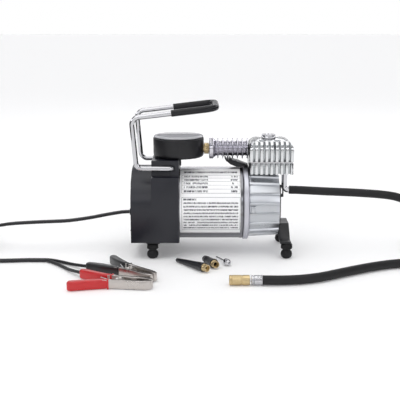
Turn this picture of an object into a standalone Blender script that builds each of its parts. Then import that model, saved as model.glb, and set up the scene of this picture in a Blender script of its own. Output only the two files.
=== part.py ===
"""A 12 V piston tire inflator: motor, crankcase, finned cylinder, gauge, carrying handle, hose and cord.

Modelled in metres about the motor's axis: +X runs from the cord end to the cylinder end, -Y is the front and
z = 0 is the floor. The empty "assembly" then moves everything so that the box's bottom centre is the origin.
"""

import math

import bmesh
import bpy
from mathutils import Matrix, Vector

MM = 0.001
GAP = 0.3 * MM          # between faces that touch on the real object
RUNNING = 0.35 * MM     # round a turning or sliding piece
ASSEMBLY_SHIFT = (-9.3 * MM, 22.2 * MM, 0)

# Motor
CAN_RADIUS = 35.5 * MM
AXIS_Z = CAN_RADIUS + 13.5 * MM
CROWN_Z = AXIS_Z + CAN_RADIUS    # the can's top line, which everything above the motor is set from
CAN_WALL = 2 * MM
CAN_REAR, CAN_FRONT = -43 * MM, 41.7 * MM
SHAFT_RADIUS = 4 * MM
SHAFT_REAR, SHAFT_FRONT = -49 * MM, 55 * MM
MAGNET_THICKNESS = 6 * MM
MAGNET_HALF_LENGTH = 27 * MM
MAGNET_SPAN = math.radians(130)
CORE_RADIUS = 26 * MM
CORE_HALF_LENGTH = 23 * MM
CORE_SLOTS = 12
COMMUTATOR_RADIUS = 11 * MM
COMMUTATOR_REAR, COMMUTATOR_FRONT = -39.5 * MM, -26 * MM
BRUSH_PLATE_REAR = -50 * MM
BEARING_RADIUS = 10.5 * MM
BEARING_WIDTH = 6 * MM
BRUSH_SIZE = (7 * MM, 6 * MM, 12 * MM)

# Crankcase, crank and cylinder
FLANGE_RADIUS = CAN_RADIUS + 1.3 * MM
FLANGE_REAR, FLANGE_FRONT = 42 * MM, 47.7 * MM
CRANKCASE_FRONT = 77 * MM
CRANKCASE_RADIUS = CAN_RADIUS - 1.5 * MM
CRANKCASE_DRAFT = 0.957
RIB_COUNT = 20
RIB_HEIGHT = 1.7 * MM
RIB_WIDTH = 2.4 * MM
CAVITY_RADIUS = CAN_RADIUS - 7 * MM
CRANK_DISC_RADIUS = 13 * MM
CRANK_DISC_FRONT = 57 * MM
CRANK_THROW = 6 * MM
CRANK_PIN_RADIUS = 3 * MM
CRANK_PIN_FRONT = 60 * MM
CYLINDER_X = 63.5 * MM
BORE_RADIUS = 11.5 * MM
SPIGOT_RADIUS = 13 * MM
SPIGOT_BOTTOM = CROWN_Z - 16.5 * MM
PISTON_HEIGHT = 10 * MM
ROD_WIDTH = 6 * MM
ROD_EYE_RADIUS = 9 * MM
ROD_BEARING_RADIUS = 6.5 * MM

# Cylinder head
BLOCK_LEFT, BLOCK_RIGHT = 48.1 * MM, 90.4 * MM
BLOCK_HALF_DEPTH = 22 * MM
BLOCK_BOTTOM, BLOCK_TOP = CROWN_Z - 3.8 * MM, CROWN_Z + 7.1 * MM
VALVE_PLATE_THICKNESS = 1 * MM
HEAD_BOTTOM, HEAD_TOP = CROWN_Z + 8.7 * MM, CROWN_Z + 28.8 * MM
HEAD_ROUND = 9 * MM
FIN_PITCH = 4.9 * MM
FIN_GAP = 2.3 * MM
FIN_DEPTH = 5.2 * MM
FIN_GAPS = 8
CAP_X = 67.3 * MM
CAP_RADIUS = 7.3 * MM
CAP_TOP = CROWN_Z + 33.1 * MM
SCREW_SPACING_X, SCREW_SPACING_Y = 14.6 * MM, 28 * MM
SCREW_HEAD_RADIUS, SCREW_SHANK_RADIUS = 2.8 * MM, 1.8 * MM
SCREW_SEAT, SCREW_TOP, SCREW_BOTTOM = CROWN_Z + 21.5 * MM, CROWN_Z + 27.5 * MM, CROWN_Z - 0.5 * MM

# Outlet pipe, gauge and its fitting
PIPE_Z = CROWN_Z + 19 * MM
PIPE_LEFT, PIPE_RIGHT = 8.9 * MM, 47.8 * MM
PIPE_RADIUS, PIPE_DISC_RADIUS = 7.4 * MM, 10.3 * MM
PIPE_BORE = 4.2 * MM
PIPE_FLANGE = 4.4 * MM
PIPE_DISC_PITCH = 4.8 * MM
PIPE_DISC_THICKNESS = 1.7 * MM
PIPE_DISCS = 7
GAUGE_X = -21.1 * MM
GAUGE_RADIUS = 24.9 * MM
GAUGE_WALL = 1.5 * MM
GAUGE_BOTTOM, GAUGE_LIP, GAUGE_TOP = CROWN_Z + 11.1 * MM, CROWN_Z + 30.4 * MM, CROWN_Z + 32.5 * MM
GAUGE_EDGE = 3 * MM
DIAL_Z = CROWN_Z + 25.9 * MM
DIAL_THICKNESS = 0.8 * MM
POINTER_LENGTH = 16 * MM
SPINDLE_RADIUS = 0.9 * MM
FITTING_FLATS = 10.5 * MM
FITTING_STEM_RADIUS = 3.8 * MM
FITTING_STEM_LEFT, FITTING_STEM_RIGHT = -7 * MM, 15 * MM
BOURDON_RADIUS = 16.5 * MM

# Rear cover, switch and cord gland
COVER_LEFT, COVER_STEP, COVER_RIGHT = -66.5 * MM, -46.5 * MM, -20.3 * MM
COVER_HALF_WIDTH = CAN_RADIUS + 2 * MM
COVER_BOTTOM = 16.8 * MM
KEEL_BOTTOM = 11.2 * MM
KEEL_HALF_WIDTH, KEEL_SLOPE = 22 * MM, 6.5 * MM
COVER_SHOULDER = CROWN_Z - 4 * MM
COVER_WALL = 2 * MM
SADDLE_HALF_WIDTH = 28.6 * MM
SADDLE_TOP = CROWN_Z + 10.8 * MM
SWITCH_Y, SWITCH_Z = -12 * MM, 31 * MM
SWITCH_HALF_WIDTH, SWITCH_HALF_HEIGHT = 6 * MM, 8.2 * MM
SWITCH_WALL = 1.4 * MM
SWITCH_DEPTH = 9 * MM
ROCKER_TILT = math.radians(10)
GLAND_Y, GLAND_Z = 14 * MM, 36 * MM
GLAND_RADIUS = 4.6 * MM
GLAND_LENGTH = 5 * MM

# Stands and feet
FOOT_SPREAD = 30 * MM
REAR_FOOT_X, FRONT_FOOT_X = -46.1 * MM, 86.3 * MM
FOOT_RADIUS = 5.6 * MM
FOOT_HEIGHT = 15 * MM
STAND_THICKNESS = 1.8 * MM
FRONT_PLATE_X = 77.3 * MM
FRONT_PLATE_TOP, FRONT_PLATE_BOTTOM = 68 * MM, 24 * MM
LEG_WIDTH = 9.5 * MM

# Handle
WIRE_RADIUS = 2.45 * MM
HANDLE_SPREAD = 32 * MM
HANDLE_PIVOT = (-27 * MM, CROWN_Z + 3.8 * MM)
HANDLE_PIN_DEPTH = 7 * MM
GRIP_RADIUS = 3.2 * MM
GRIP_START = -27 * MM

# Hose end, clamps and nozzles
HOSE_DIAMETER = 8.3 * MM
ELBOW_RADIUS = 2.9 * MM
HOSE_Z = 61.6 * MM
CHUCK_Y, CHUCK_Z = -113 * MM, 4.6 * MM
CHUCK_LEFT, CHUCK_STEP, CHUCK_RIGHT = 25.4 * MM, 34.5 * MM, 43.3 * MM
CHUCK_RADIUS, CHUCK_SOCKET = 4.5 * MM, 3.7 * MM
FERRULE_LEFT, FERRULE_RIGHT = 44.6 * MM, 54.2 * MM
CORD_DIAMETER, LEAD_DIAMETER = 5.4 * MM, 3 * MM
CLAMP_HEIGHT = 8.5 * MM


def material(name, color, roughness, metallic=0.0):
    made = bpy.data.materials.get(name)
    if made is None:
        made = bpy.data.materials.new(name)
        made.use_nodes = True
        shader = made.node_tree.nodes["Principled BSDF"]
        shader.inputs["Base Color"].default_value = (*color, 1)
        shader.inputs["Roughness"].default_value = roughness
        shader.inputs["Metallic"].default_value = metallic
    return made


def black_plastic():
    return material("black_plastic", (0.035, 0.035, 0.045), 0.45)


def cast_aluminium():
    return material("cast_aluminium", (0.72, 0.73, 0.76), 0.4, 0.9)


def steel():
    return material("steel", (0.55, 0.55, 0.56), 0.3, 1.0)


def brass():
    return material("brass", (0.75, 0.58, 0.28), 0.3, 1.0)


def chrome():
    return material("chrome", (0.85, 0.85, 0.86), 0.08, 1.0)


def rubber():
    return material("rubber", (0.02, 0.02, 0.02), 0.7)


def node(name, bm, finish, origin=(0, 0, 0), smooth=True):
    """One sub-part from a bmesh in assembly coordinates, with its own origin."""
    bmesh.ops.remove_doubles(bm, verts=bm.verts, dist=1e-6)
    bmesh.ops.recalc_face_normals(bm, faces=bm.faces)
    bmesh.ops.translate(bm, verts=bm.verts, vec=-Vector(origin))
    mesh = bpy.data.meshes.new(name)
    bm.to_mesh(mesh)
    bm.free()
    mesh.materials.append(finish)
    if smooth:
        mesh.shade_smooth()
        mesh.set_sharp_from_angle(angle=math.radians(35))
    made = bpy.data.objects.new(name, mesh)
    made.location = origin
    made.parent = ASSEMBLY
    bpy.context.scene.collection.objects.link(made)
    return made


def boolean(target, other, operation):
    """Cuts or joins with EXACT, keeping the other shape as a hidden wire cutter."""
    modifier = target.modifiers.new(other.name, "BOOLEAN")
    modifier.operation = operation
    modifier.solver = "EXACT"
    modifier.object = other
    other.hide_render = True
    other.display_type = "WIRE"


def cut(target, bm):
    boolean(target, node(target.name + "_cutter", bm, black_plastic()), "DIFFERENCE")


def join(target, bm):
    boolean(target, node(target.name + "_addition", bm, black_plastic()), "UNION")


def facing(axis):
    """Turns +Z to face along X or Y."""
    return {
        "Z": Matrix.Identity(4),
        "X": Matrix.Rotation(math.pi / 2, 4, "Y"),
        "Y": Matrix.Rotation(-math.pi / 2, 4, "X"),
    }[axis]


def blank():
    """An empty bmesh that remembers which of its vertices are in place."""
    bm = bmesh.new()
    bm.verts.layers.int.new("placed")
    return bm


def turned(profile, centre=(0, 0, 0), axis="X", steps=24, bm=None):
    """A solid of revolution from (radius, distance along the axis) points round its section."""
    bm = bm or blank()
    made = [bm.verts.new((radius, 0, along)) for radius, along in profile]
    sides = [(a, b) for a, b in zip(made, made[1:] + made[:1]) if max(a.co.x, b.co.x) > 1e-9]
    edges = [bm.edges.new(pair) for pair in sides]
    bmesh.ops.spin(bm, geom=made + edges, axis=(0, 0, 1), angle=math.tau, steps=steps, use_merge=True)
    place_new(bm, Matrix.Translation(centre) @ facing(axis))
    return bm


def place_new(bm, matrix):
    """Moves the vertices that no earlier call has placed."""
    placed = bm.verts.layers.int["placed"]
    fresh = [v for v in bm.verts if not v[placed]]
    bmesh.ops.transform(bm, matrix=matrix, verts=fresh)
    for v in fresh:
        v[placed] = 1


def rod(radius, low, high, centre=(0, 0, 0), axis="X", steps=24, bm=None):
    return turned([(0, low), (radius, low), (radius, high), (0, high)], centre, axis, steps, bm)


def tube(inner, outer, low, high, centre=(0, 0, 0), axis="X", steps=24, bm=None):
    return turned([(inner, low), (outer, low), (outer, high), (inner, high)], centre, axis, steps, bm)


def box(low, high, bm=None, turn=Matrix.Identity(4)):
    bm = bm or blank()
    low, high = Vector(low), Vector(high)
    bmesh.ops.create_cube(bm, size=1)
    place_new(bm, turn @ Matrix.Translation((low + high) / 2) @ Matrix.Diagonal((*(high - low), 1)))
    return bm


def prism(outline, low, high, axis="X", bm=None, end_scale=1.0, about=(0, 0)):
    """Extrudes an outline. Its points are (y, z) along X, (x, z) along Y and (x, y) along Z."""
    bm = bm or blank()
    order = {
        "X": lambda p, t: (t, p[0], p[1]),
        "Y": lambda p, t: (p[0], t, p[1]),
        "Z": lambda p, t: (p[0], p[1], t),
    }
    point = order[axis]
    face = bm.faces.new([bm.verts.new(point(p, low)) for p in outline])
    top = bmesh.ops.extrude_face_region(bm, geom=[face])["geom"]
    top = [v for v in top if isinstance(v, bmesh.types.BMVert)]
    for v in top:
        v.co += Vector(point((0, 0), high - low))
    if end_scale != 1:
        centre = Vector(point(about, high))
        bmesh.ops.scale(bm, verts=top, vec=(end_scale,) * 3, space=Matrix.Translation(-centre))
    place_new(bm, Matrix.Identity(4))
    return bm


def arc(centre, radius, start, end, steps):
    """Points on an arc, the angles in degrees from the outline's first axis."""
    angles = [math.radians(start + (end - start) * i / steps) for i in range(steps + 1)]
    return [(centre[0] + radius * math.cos(a), centre[1] + radius * math.sin(a)) for a in angles]


def rounded_path(corners, radii, steps=5):
    """A polyline through 3D corners, each inner corner replaced by an arc of its radius."""
    corners = [Vector(c) for c in corners]
    path = [corners[0]]
    for before, corner, after, radius in zip(corners, corners[1:], corners[2:], radii):
        a, b = (before - corner).normalized(), (after - corner).normalized()
        half = a.angle(b) / 2
        centre = corner + (a + b).normalized() * radius / math.sin(half)
        first = corner + a * radius / math.tan(half) - centre
        last = corner + b * radius / math.tan(half) - centre
        turn = first.angle(last)
        for i in range(steps + 1):
            t = i / steps
            blend = first * math.sin((1 - t) * turn) + last * math.sin(t * turn)
            path.append(centre + blend / math.sin(turn))
    return path + [corners[-1]]


def smooth_route(points, spacing):
    """Evenly spaced points on one smooth Catmull-Rom curve through the hand-chosen ones."""
    knots = [Vector(p) * MM for p in points]
    ends = [2 * knots[0] - knots[1]] + knots + [2 * knots[-1] - knots[-2]]
    fine = []
    for a, b, c, d in zip(ends, ends[1:], ends[2:], ends[3:]):
        for i in range(24):
            t = i / 24
            fine.append(
                0.5 * (2 * b + (c - a) * t + (2 * a - 5 * b + 4 * c - d) * t * t + (3 * b - a - 3 * c + d) * t**3)
            )
    fine.append(knots[-1])
    length = sum((q - p).length for p, q in zip(fine, fine[1:]))
    count = max(2, round(length / spacing))
    out, target, walked = [fine[0]], length / count, 0.0
    for p, q in zip(fine, fine[1:]):
        step = (q - p).length
        while len(out) < count and walked + step >= target * len(out) - 1e-9:
            out.append(p.lerp(q, (target * len(out) - walked) / step))
        walked += step
    return out[:count] + [fine[-1]]


def sweep(name, points, radius, finish, resolution=2, origin=(0, 0, 0)):
    """A round wire, tube or lead along a polyline, with closed ends."""
    curve = bpy.data.curves.new(name, "CURVE")
    curve.dimensions = "3D"
    curve.bevel_depth = radius
    curve.bevel_resolution = resolution
    curve.use_fill_caps = True
    spline = curve.splines.new("POLY")
    spline.points.add(len(points) - 1)
    for target, source in zip(spline.points, points):
        target.co = (*(Vector(source) - Vector(origin)), 1)
    spline.use_smooth = True
    curve.materials.append(finish)
    made = bpy.data.objects.new(name, curve)
    made.location = origin
    made.parent = ASSEMBLY
    bpy.context.scene.collection.objects.link(made)
    return made


def magnet(name, facing_up):
    outer = CAN_RADIUS - CAN_WALL - GAP
    inner = outer - MAGNET_THICKNESS
    middle = 90 if facing_up else 270
    half = math.degrees(MAGNET_SPAN) / 2
    outline = arc((0, AXIS_Z), outer, middle - half, middle + half, 12)
    outline += arc((0, AXIS_Z), inner, middle + half, middle - half, 12)
    node(name, prism(outline, -MAGNET_HALF_LENGTH, MAGNET_HALF_LENGTH), material("ferrite", (0.08, 0.08, 0.08), 0.8))


def armature():
    """The rotor: shaft, laminated core and commutator, all turning on the motor axis."""
    pivot = (0, 0, AXIS_Z)
    node("armature_shaft", rod(SHAFT_RADIUS, SHAFT_REAR, SHAFT_FRONT, pivot), steel(), pivot)
    outline = []
    for tooth in range(CORE_SLOTS):
        start = 360 / CORE_SLOTS * tooth
        outline += arc((0, AXIS_Z), CORE_RADIUS, start, start + 20, 2)
        outline += arc((0, AXIS_Z), CORE_RADIUS / 2, start + 21.5, start + 28.5, 1)
    core = node("armature_core", prism(outline, -CORE_HALF_LENGTH, CORE_HALF_LENGTH), steel(), pivot)
    cut(core, rod(SHAFT_RADIUS + GAP, -CAN_RADIUS, CAN_RADIUS, pivot))
    section = (SHAFT_RADIUS + GAP, COMMUTATOR_RADIUS, COMMUTATOR_REAR, COMMUTATOR_FRONT)
    node("commutator", tube(*section, pivot), material("copper", (0.7, 0.35, 0.2), 0.35, 1.0), pivot)


def motor():
    axis = (0, 0, AXIS_Z)
    can = tube(CAN_RADIUS - CAN_WALL, CAN_RADIUS, CAN_REAR, CAN_FRONT, axis, steps=40)
    node("motor_can", can, material("silver_paint", (0.66, 0.67, 0.7), 0.32, 0.8))
    magnet("magnet_upper", True)
    magnet("magnet_lower", False)
    armature()
    plate = tube(SHAFT_RADIUS + RUNNING, CAN_RADIUS, BRUSH_PLATE_REAR, CAN_REAR - GAP, axis)
    brushes = node("brush_plate", plate, material("phenolic", (0.25, 0.12, 0.06), 0.6))
    reach = COMMUTATOR_RADIUS + RUNNING
    length, width, height = BRUSH_SIZE
    for side in (-1, 1):
        near, far = sorted((side * reach, side * (reach + height)))
        low = (CAN_REAR - GAP - MM, near, AXIS_Z - width / 2)
        join(brushes, box(low, (COMMUTATOR_REAR + length, far, AXIS_Z + width / 2)))
    plate = tube(BEARING_RADIUS + GAP, FLANGE_RADIUS, FLANGE_REAR, FLANGE_FRONT, axis, steps=40)
    node("motor_front_plate", plate, cast_aluminium())
    seat = (FLANGE_REAR + FLANGE_FRONT - BEARING_WIDTH) / 2
    bearing = tube(SHAFT_RADIUS + RUNNING, BEARING_RADIUS, seat, seat + BEARING_WIDTH, axis)
    node("front_bearing", bearing, steel())


def rib_outline():
    outline = []
    half_rib = math.degrees(RIB_WIDTH / CRANKCASE_RADIUS) / 2
    pitch = 360 / RIB_COUNT
    for rib in range(RIB_COUNT):
        middle = pitch * (rib + 0.5)
        outline += arc((0, AXIS_Z), CRANKCASE_RADIUS, middle - half_rib, middle + half_rib, 1)
        valley = (middle + half_rib + 1, middle + pitch - half_rib - 1)
        outline += arc((0, AXIS_Z), CRANKCASE_RADIUS - RIB_HEIGHT, *valley, 2)
    return outline


def crankcase():
    """A ribbed cup with a slight draft, open towards the motor, with a flat seat for the cylinder."""
    axis = (0, 0, AXIS_Z)
    rear = FLANGE_FRONT + GAP
    cup = prism(rib_outline(), rear, CRANKCASE_FRONT, end_scale=CRANKCASE_DRAFT, about=(0, AXIS_Z))
    case = node("crankcase", cup, cast_aluminium())
    cut(case, rod(CAVITY_RADIUS, rear - MM, CRANKCASE_FRONT - 2.5 * MM, axis, steps=32))
    cut(case, rod(SPIGOT_RADIUS + GAP, AXIS_Z, BLOCK_TOP, (CYLINDER_X, 0, 0), "Z", 32))
    seat = (rear - MM, -CRANKCASE_RADIUS, BLOCK_BOTTOM - GAP)
    cut(case, box(seat, (CRANKCASE_FRONT + MM, CRANKCASE_RADIUS, BLOCK_TOP)))


def crank():
    pivot = (0, 0, AXIS_Z)
    bore = SHAFT_RADIUS + GAP
    rear = FLANGE_FRONT + 2 * MM
    profile = [
        (bore, rear), (CRANK_DISC_RADIUS, rear), (CRANK_DISC_RADIUS, CRANK_DISC_FRONT), (0, CRANK_DISC_FRONT),
        (0, SHAFT_FRONT + GAP), (bore, SHAFT_FRONT + GAP),
    ]
    disc = node("crank_disc", turned(profile, pivot), steel(), pivot)
    pin_axis = (0, 0, AXIS_Z + CRANK_THROW)
    join(disc, rod(CRANK_PIN_RADIUS, CRANK_DISC_FRONT - MM, CRANK_PIN_FRONT, pin_axis, steps=16))


def piston():
    """The rod and piston in one piece, drawn at the top of the stroke, with its bearing and cup seal."""
    eye = Vector((0, 0, AXIS_Z + CRANK_THROW))
    rear, front = CYLINDER_X - ROD_WIDTH / 2, CYLINDER_X + ROD_WIDTH / 2
    top = BLOCK_TOP - 0.8 * MM
    crown, groove = BORE_RADIUS - 0.8 * MM, BORE_RADIUS - 2.5 * MM
    seal_low, seal_high = top - 4.8 * MM, top - 2 * MM
    profile = [
        (0, top - PISTON_HEIGHT), (crown, top - PISTON_HEIGHT), (crown, seal_low - GAP), (groove, seal_low - GAP),
        (groove, seal_high + GAP), (crown, seal_high + GAP), (crown, top), (0, top),
    ]
    rod_node = node("connecting_rod", turned(profile, (CYLINDER_X, 0, 0), "Z"), cast_aluminium())
    join(rod_node, rod(ROD_EYE_RADIUS, rear, front, eye))
    shank = (rear, -ROD_WIDTH * 0.6, eye.z + ROD_BEARING_RADIUS)
    join(rod_node, box(shank, (front, ROD_WIDTH * 0.6, top - PISTON_HEIGHT + MM)))
    cut(rod_node, rod(ROD_BEARING_RADIUS + GAP, rear - MM, front + MM, eye))
    node("big_end_bearing", tube(CRANK_PIN_RADIUS + RUNNING, ROD_BEARING_RADIUS, rear, front, eye), steel())
    cup = tube(groove + GAP, BORE_RADIUS - RUNNING, seal_low, seal_high, (CYLINDER_X, 0, 0), "Z")
    node("piston_cup", cup, material("ptfe", (0.35, 0.3, 0.25), 0.6))


def fin_cutter(low, high):
    """Slots between the fins, cut in from the front and the back of a finned block."""
    bm = blank()
    middle = (BLOCK_LEFT + BLOCK_RIGHT) / 2
    for gap in range(FIN_GAPS):
        x = middle + (gap - (FIN_GAPS - 1) / 2) * FIN_PITCH
        for side in (-1, 1):
            near, far = sorted((side * (BLOCK_HALF_DEPTH - FIN_DEPTH), side * (BLOCK_HALF_DEPTH + MM)))
            box((x - FIN_GAP / 2, near, low), (x + FIN_GAP / 2, far, high), bm)
    return bm


def screw_places():
    return [
        (CAP_X + x * SCREW_SPACING_X / 2, y * SCREW_SPACING_Y / 2, 0) for y in (-1, 1) for x in (-1, 1)
    ]


def at_screws(radius, low, high):
    bm = blank()
    for place in screw_places():
        rod(radius, low, high, place, "Z", 12, bm)
    return bm


def rounded_block(low, high, radius, edges, segments=3):
    """A box whose edges that pass the test are rounded."""
    bm = box(low, high)
    chosen = [e for e in bm.edges if edges((e.verts[0].co + e.verts[1].co) / 2)]
    bmesh.ops.bevel(bm, geom=chosen, offset=radius, segments=segments, profile=0.5, affect="EDGES", material=-1)
    return bm


def cylinder():
    clearance = SCREW_SHANK_RADIUS + GAP
    middle = (BLOCK_LEFT + BLOCK_RIGHT) / 2
    corner = BLOCK_HALF_DEPTH - MM
    upright = lambda at: abs(at.y) > corner and min(abs(at.x - BLOCK_LEFT), abs(at.x - BLOCK_RIGHT)) < MM
    low, high = (BLOCK_LEFT, -BLOCK_HALF_DEPTH, BLOCK_BOTTOM), (BLOCK_RIGHT, BLOCK_HALF_DEPTH, BLOCK_TOP)
    barrel = node("cylinder_barrel", rounded_block(low, high, 3 * MM, upright), cast_aluminium())
    join(barrel, rod(SPIGOT_RADIUS, SPIGOT_BOTTOM, BLOCK_BOTTOM + MM, (CYLINDER_X, 0, 0), "Z", 32))
    cut(barrel, fin_cutter(BLOCK_BOTTOM - MM, BLOCK_TOP + MM))
    cut(barrel, rod(BORE_RADIUS, SPIGOT_BOTTOM - MM, BLOCK_TOP + MM, (CYLINDER_X, 0, 0), "Z", 32))
    cut(barrel, at_screws(clearance, SCREW_BOTTOM - GAP, BLOCK_TOP + MM))
    plate_low = BLOCK_TOP + GAP
    inset = 0.8 * MM
    low = (BLOCK_LEFT + inset, -BLOCK_HALF_DEPTH + inset, plate_low)
    high = (BLOCK_RIGHT - inset, BLOCK_HALF_DEPTH - inset, plate_low + VALVE_PLATE_THICKNESS)
    plate = node("valve_plate", box(low, high), steel())
    cut(plate, at_screws(clearance, BLOCK_TOP, HEAD_BOTTOM))
    port = rod(1.2 * MM, BLOCK_TOP, HEAD_BOTTOM, (CAP_X, 0, 0), "Z", 10)
    cut(plate, port)
    low, high = (BLOCK_LEFT, -BLOCK_HALF_DEPTH, HEAD_BOTTOM), (BLOCK_RIGHT, BLOCK_HALF_DEPTH, HEAD_TOP)
    top_edges = lambda at: at.z > HEAD_TOP - MM
    head = node("cylinder_head", rounded_block(low, high, HEAD_ROUND, top_edges, 4), cast_aluminium())
    cut(head, fin_cutter(HEAD_BOTTOM - MM, HEAD_TOP + MM))
    chamber = (middle - 15 * MM, -8 * MM, HEAD_BOTTOM - MM)
    cut(head, box(chamber, (middle + 13 * MM, 8 * MM, PIPE_Z + 2 * MM)))
    cut(head, rod(PIPE_BORE, BLOCK_LEFT - MM, middle, (0, 0, PIPE_Z), steps=16))
    cut(head, rod(5.3 * MM, PIPE_Z, HEAD_TOP + MM, (CAP_X, 0, 0), "Z"))
    cut(head, at_screws(clearance, HEAD_BOTTOM - MM, HEAD_TOP + MM))
    cut(head, at_screws(SCREW_HEAD_RADIUS + 0.6 * MM, SCREW_SEAT - GAP, HEAD_TOP + MM))
    stem = 5 * MM
    seat = HEAD_TOP + GAP
    profile = [
        (0, HEAD_TOP - 5 * MM), (stem, HEAD_TOP - 5 * MM), (stem, seat), (CAP_RADIUS - MM, seat),
        (CAP_RADIUS, seat + MM), (CAP_RADIUS, CAP_TOP - 0.5 * MM), (CAP_RADIUS - 0.5 * MM, CAP_TOP), (0, CAP_TOP),
    ]
    node("valve_cap", turned(profile, (CAP_X, 0, 0), "Z"), chrome())
    shank, head_radius = SCREW_SHANK_RADIUS, SCREW_HEAD_RADIUS
    profile = [
        (0, SCREW_BOTTOM), (shank, SCREW_BOTTOM), (shank, SCREW_SEAT), (head_radius, SCREW_SEAT),
        (head_radius, SCREW_TOP), (0, SCREW_TOP),
    ]
    for number, place in enumerate(screw_places(), 1):
        node(f"head_screw_{number}", turned(profile, place, "Z", 12), steel())


def outlet_pipe():
    """The finned cooling pipe from the head to the gauge, bored right through."""
    profile = [(PIPE_BORE, PIPE_LEFT), (PIPE_DISC_RADIUS, PIPE_LEFT), (PIPE_DISC_RADIUS, PIPE_LEFT + PIPE_FLANGE)]
    profile.append((PIPE_RADIUS, PIPE_LEFT + PIPE_FLANGE))
    half = PIPE_DISC_THICKNESS / 2
    for disc in range(PIPE_DISCS):
        x = PIPE_RIGHT - 1.4 * MM - PIPE_DISC_PITCH * (PIPE_DISCS - 1 - disc)
        profile += [
            (PIPE_RADIUS, x - half), (PIPE_DISC_RADIUS, x - half * 0.6), (PIPE_DISC_RADIUS, x + half * 0.6),
            (PIPE_RADIUS, x + half),
        ]
    profile += [(PIPE_RADIUS, PIPE_RIGHT), (PIPE_BORE, PIPE_RIGHT)]
    node("outlet_pipe", turned(profile, (0, 0, PIPE_Z), steps=16), cast_aluminium())


def gauge():
    """A top-reading pressure gauge with its brass fitting, Bourdon tube, dial, pointer and lens."""
    centre = (GAUGE_X, 0, 0)
    inner = GAUGE_RADIUS - GAUGE_WALL
    floor = GAUGE_BOTTOM + GAUGE_WALL
    profile = [
        (0, GAUGE_BOTTOM), (GAUGE_RADIUS - GAUGE_EDGE, GAUGE_BOTTOM),
        (GAUGE_RADIUS - 0.3 * GAUGE_EDGE, GAUGE_BOTTOM + 0.3 * GAUGE_EDGE),
        (GAUGE_RADIUS, GAUGE_BOTTOM + GAUGE_EDGE), (GAUGE_RADIUS, GAUGE_LIP), (inner, GAUGE_LIP), (inner, floor),
        (0, floor),
    ]
    case = node("gauge_case", turned(profile, centre, "Z", 40), black_plastic())
    cut(case, rod(FITTING_STEM_RADIUS + GAP, GAUGE_X, PIPE_LEFT, (0, 0, PIPE_Z), steps=16))
    seat = GAUGE_LIP + GAP
    profile = [(0, seat), (GAUGE_RADIUS, seat), (GAUGE_RADIUS, seat + 1.2 * MM), (inner - 2 * MM, GAUGE_TOP)]
    profile.append((0, GAUGE_TOP))
    lens = material("clear_lens", (0.85, 0.86, 0.88), 0.1)
    node("gauge_lens", turned(profile, centre, "Z", 40), lens)
    dial = tube(SPINDLE_RADIUS + GAP, inner - GAP, DIAL_Z, DIAL_Z + DIAL_THICKNESS, centre, "Z", 32)
    node("gauge_dial", dial, material("dial_white", (0.85, 0.85, 0.83), 0.6))
    hub_low = DIAL_Z + DIAL_THICKNESS + RUNNING
    hub_high = hub_low + 1.4 * MM
    profile = [
        (0, floor + GAP), (SPINDLE_RADIUS, floor + GAP), (SPINDLE_RADIUS, hub_low), (2.4 * MM, hub_low),
        (2.4 * MM, hub_high), (0, hub_high),
    ]
    pointer = node("gauge_pointer", turned(profile, centre, "Z", 12), black_plastic(), centre)
    turn = Matrix.Translation(centre) @ Matrix.Rotation(math.radians(225), 4, "Z")
    needle = box((-5 * MM, -0.7 * MM, hub_low + GAP), (POINTER_LENGTH, 0.7 * MM, hub_high - GAP), turn=turn)
    join(pointer, needle)
    start, end = 17, 320
    outline = arc((GAUGE_X, 0), BOURDON_RADIUS + 1.2 * MM, start, end, 20)
    outline += arc((GAUGE_X, 0), BOURDON_RADIUS - 1.2 * MM, end, start, 20)
    bourdon = prism(outline, floor + GAP, PIPE_Z + 3 * MM, "Z")
    node("bourdon_tube", bourdon, brass())
    stem = rod(FITTING_STEM_RADIUS, FITTING_STEM_LEFT, FITTING_STEM_RIGHT, (0, 0, PIPE_Z), steps=16)
    fitting = node("gauge_fitting", stem, brass())
    corner = FITTING_FLATS / 2 / math.cos(math.pi / 6)
    join(fitting, rod(corner, GAUGE_X + GAUGE_RADIUS + GAP, PIPE_LEFT - GAP, (0, 0, PIPE_Z), steps=6))


def keel(shelf, bottom, half_width):
    """The bulge that hugs the motor under the cover, from left to right."""
    flat = half_width - KEEL_SLOPE
    return [(-half_width, shelf), (-flat, bottom), (flat, bottom), (half_width, shelf)]


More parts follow.
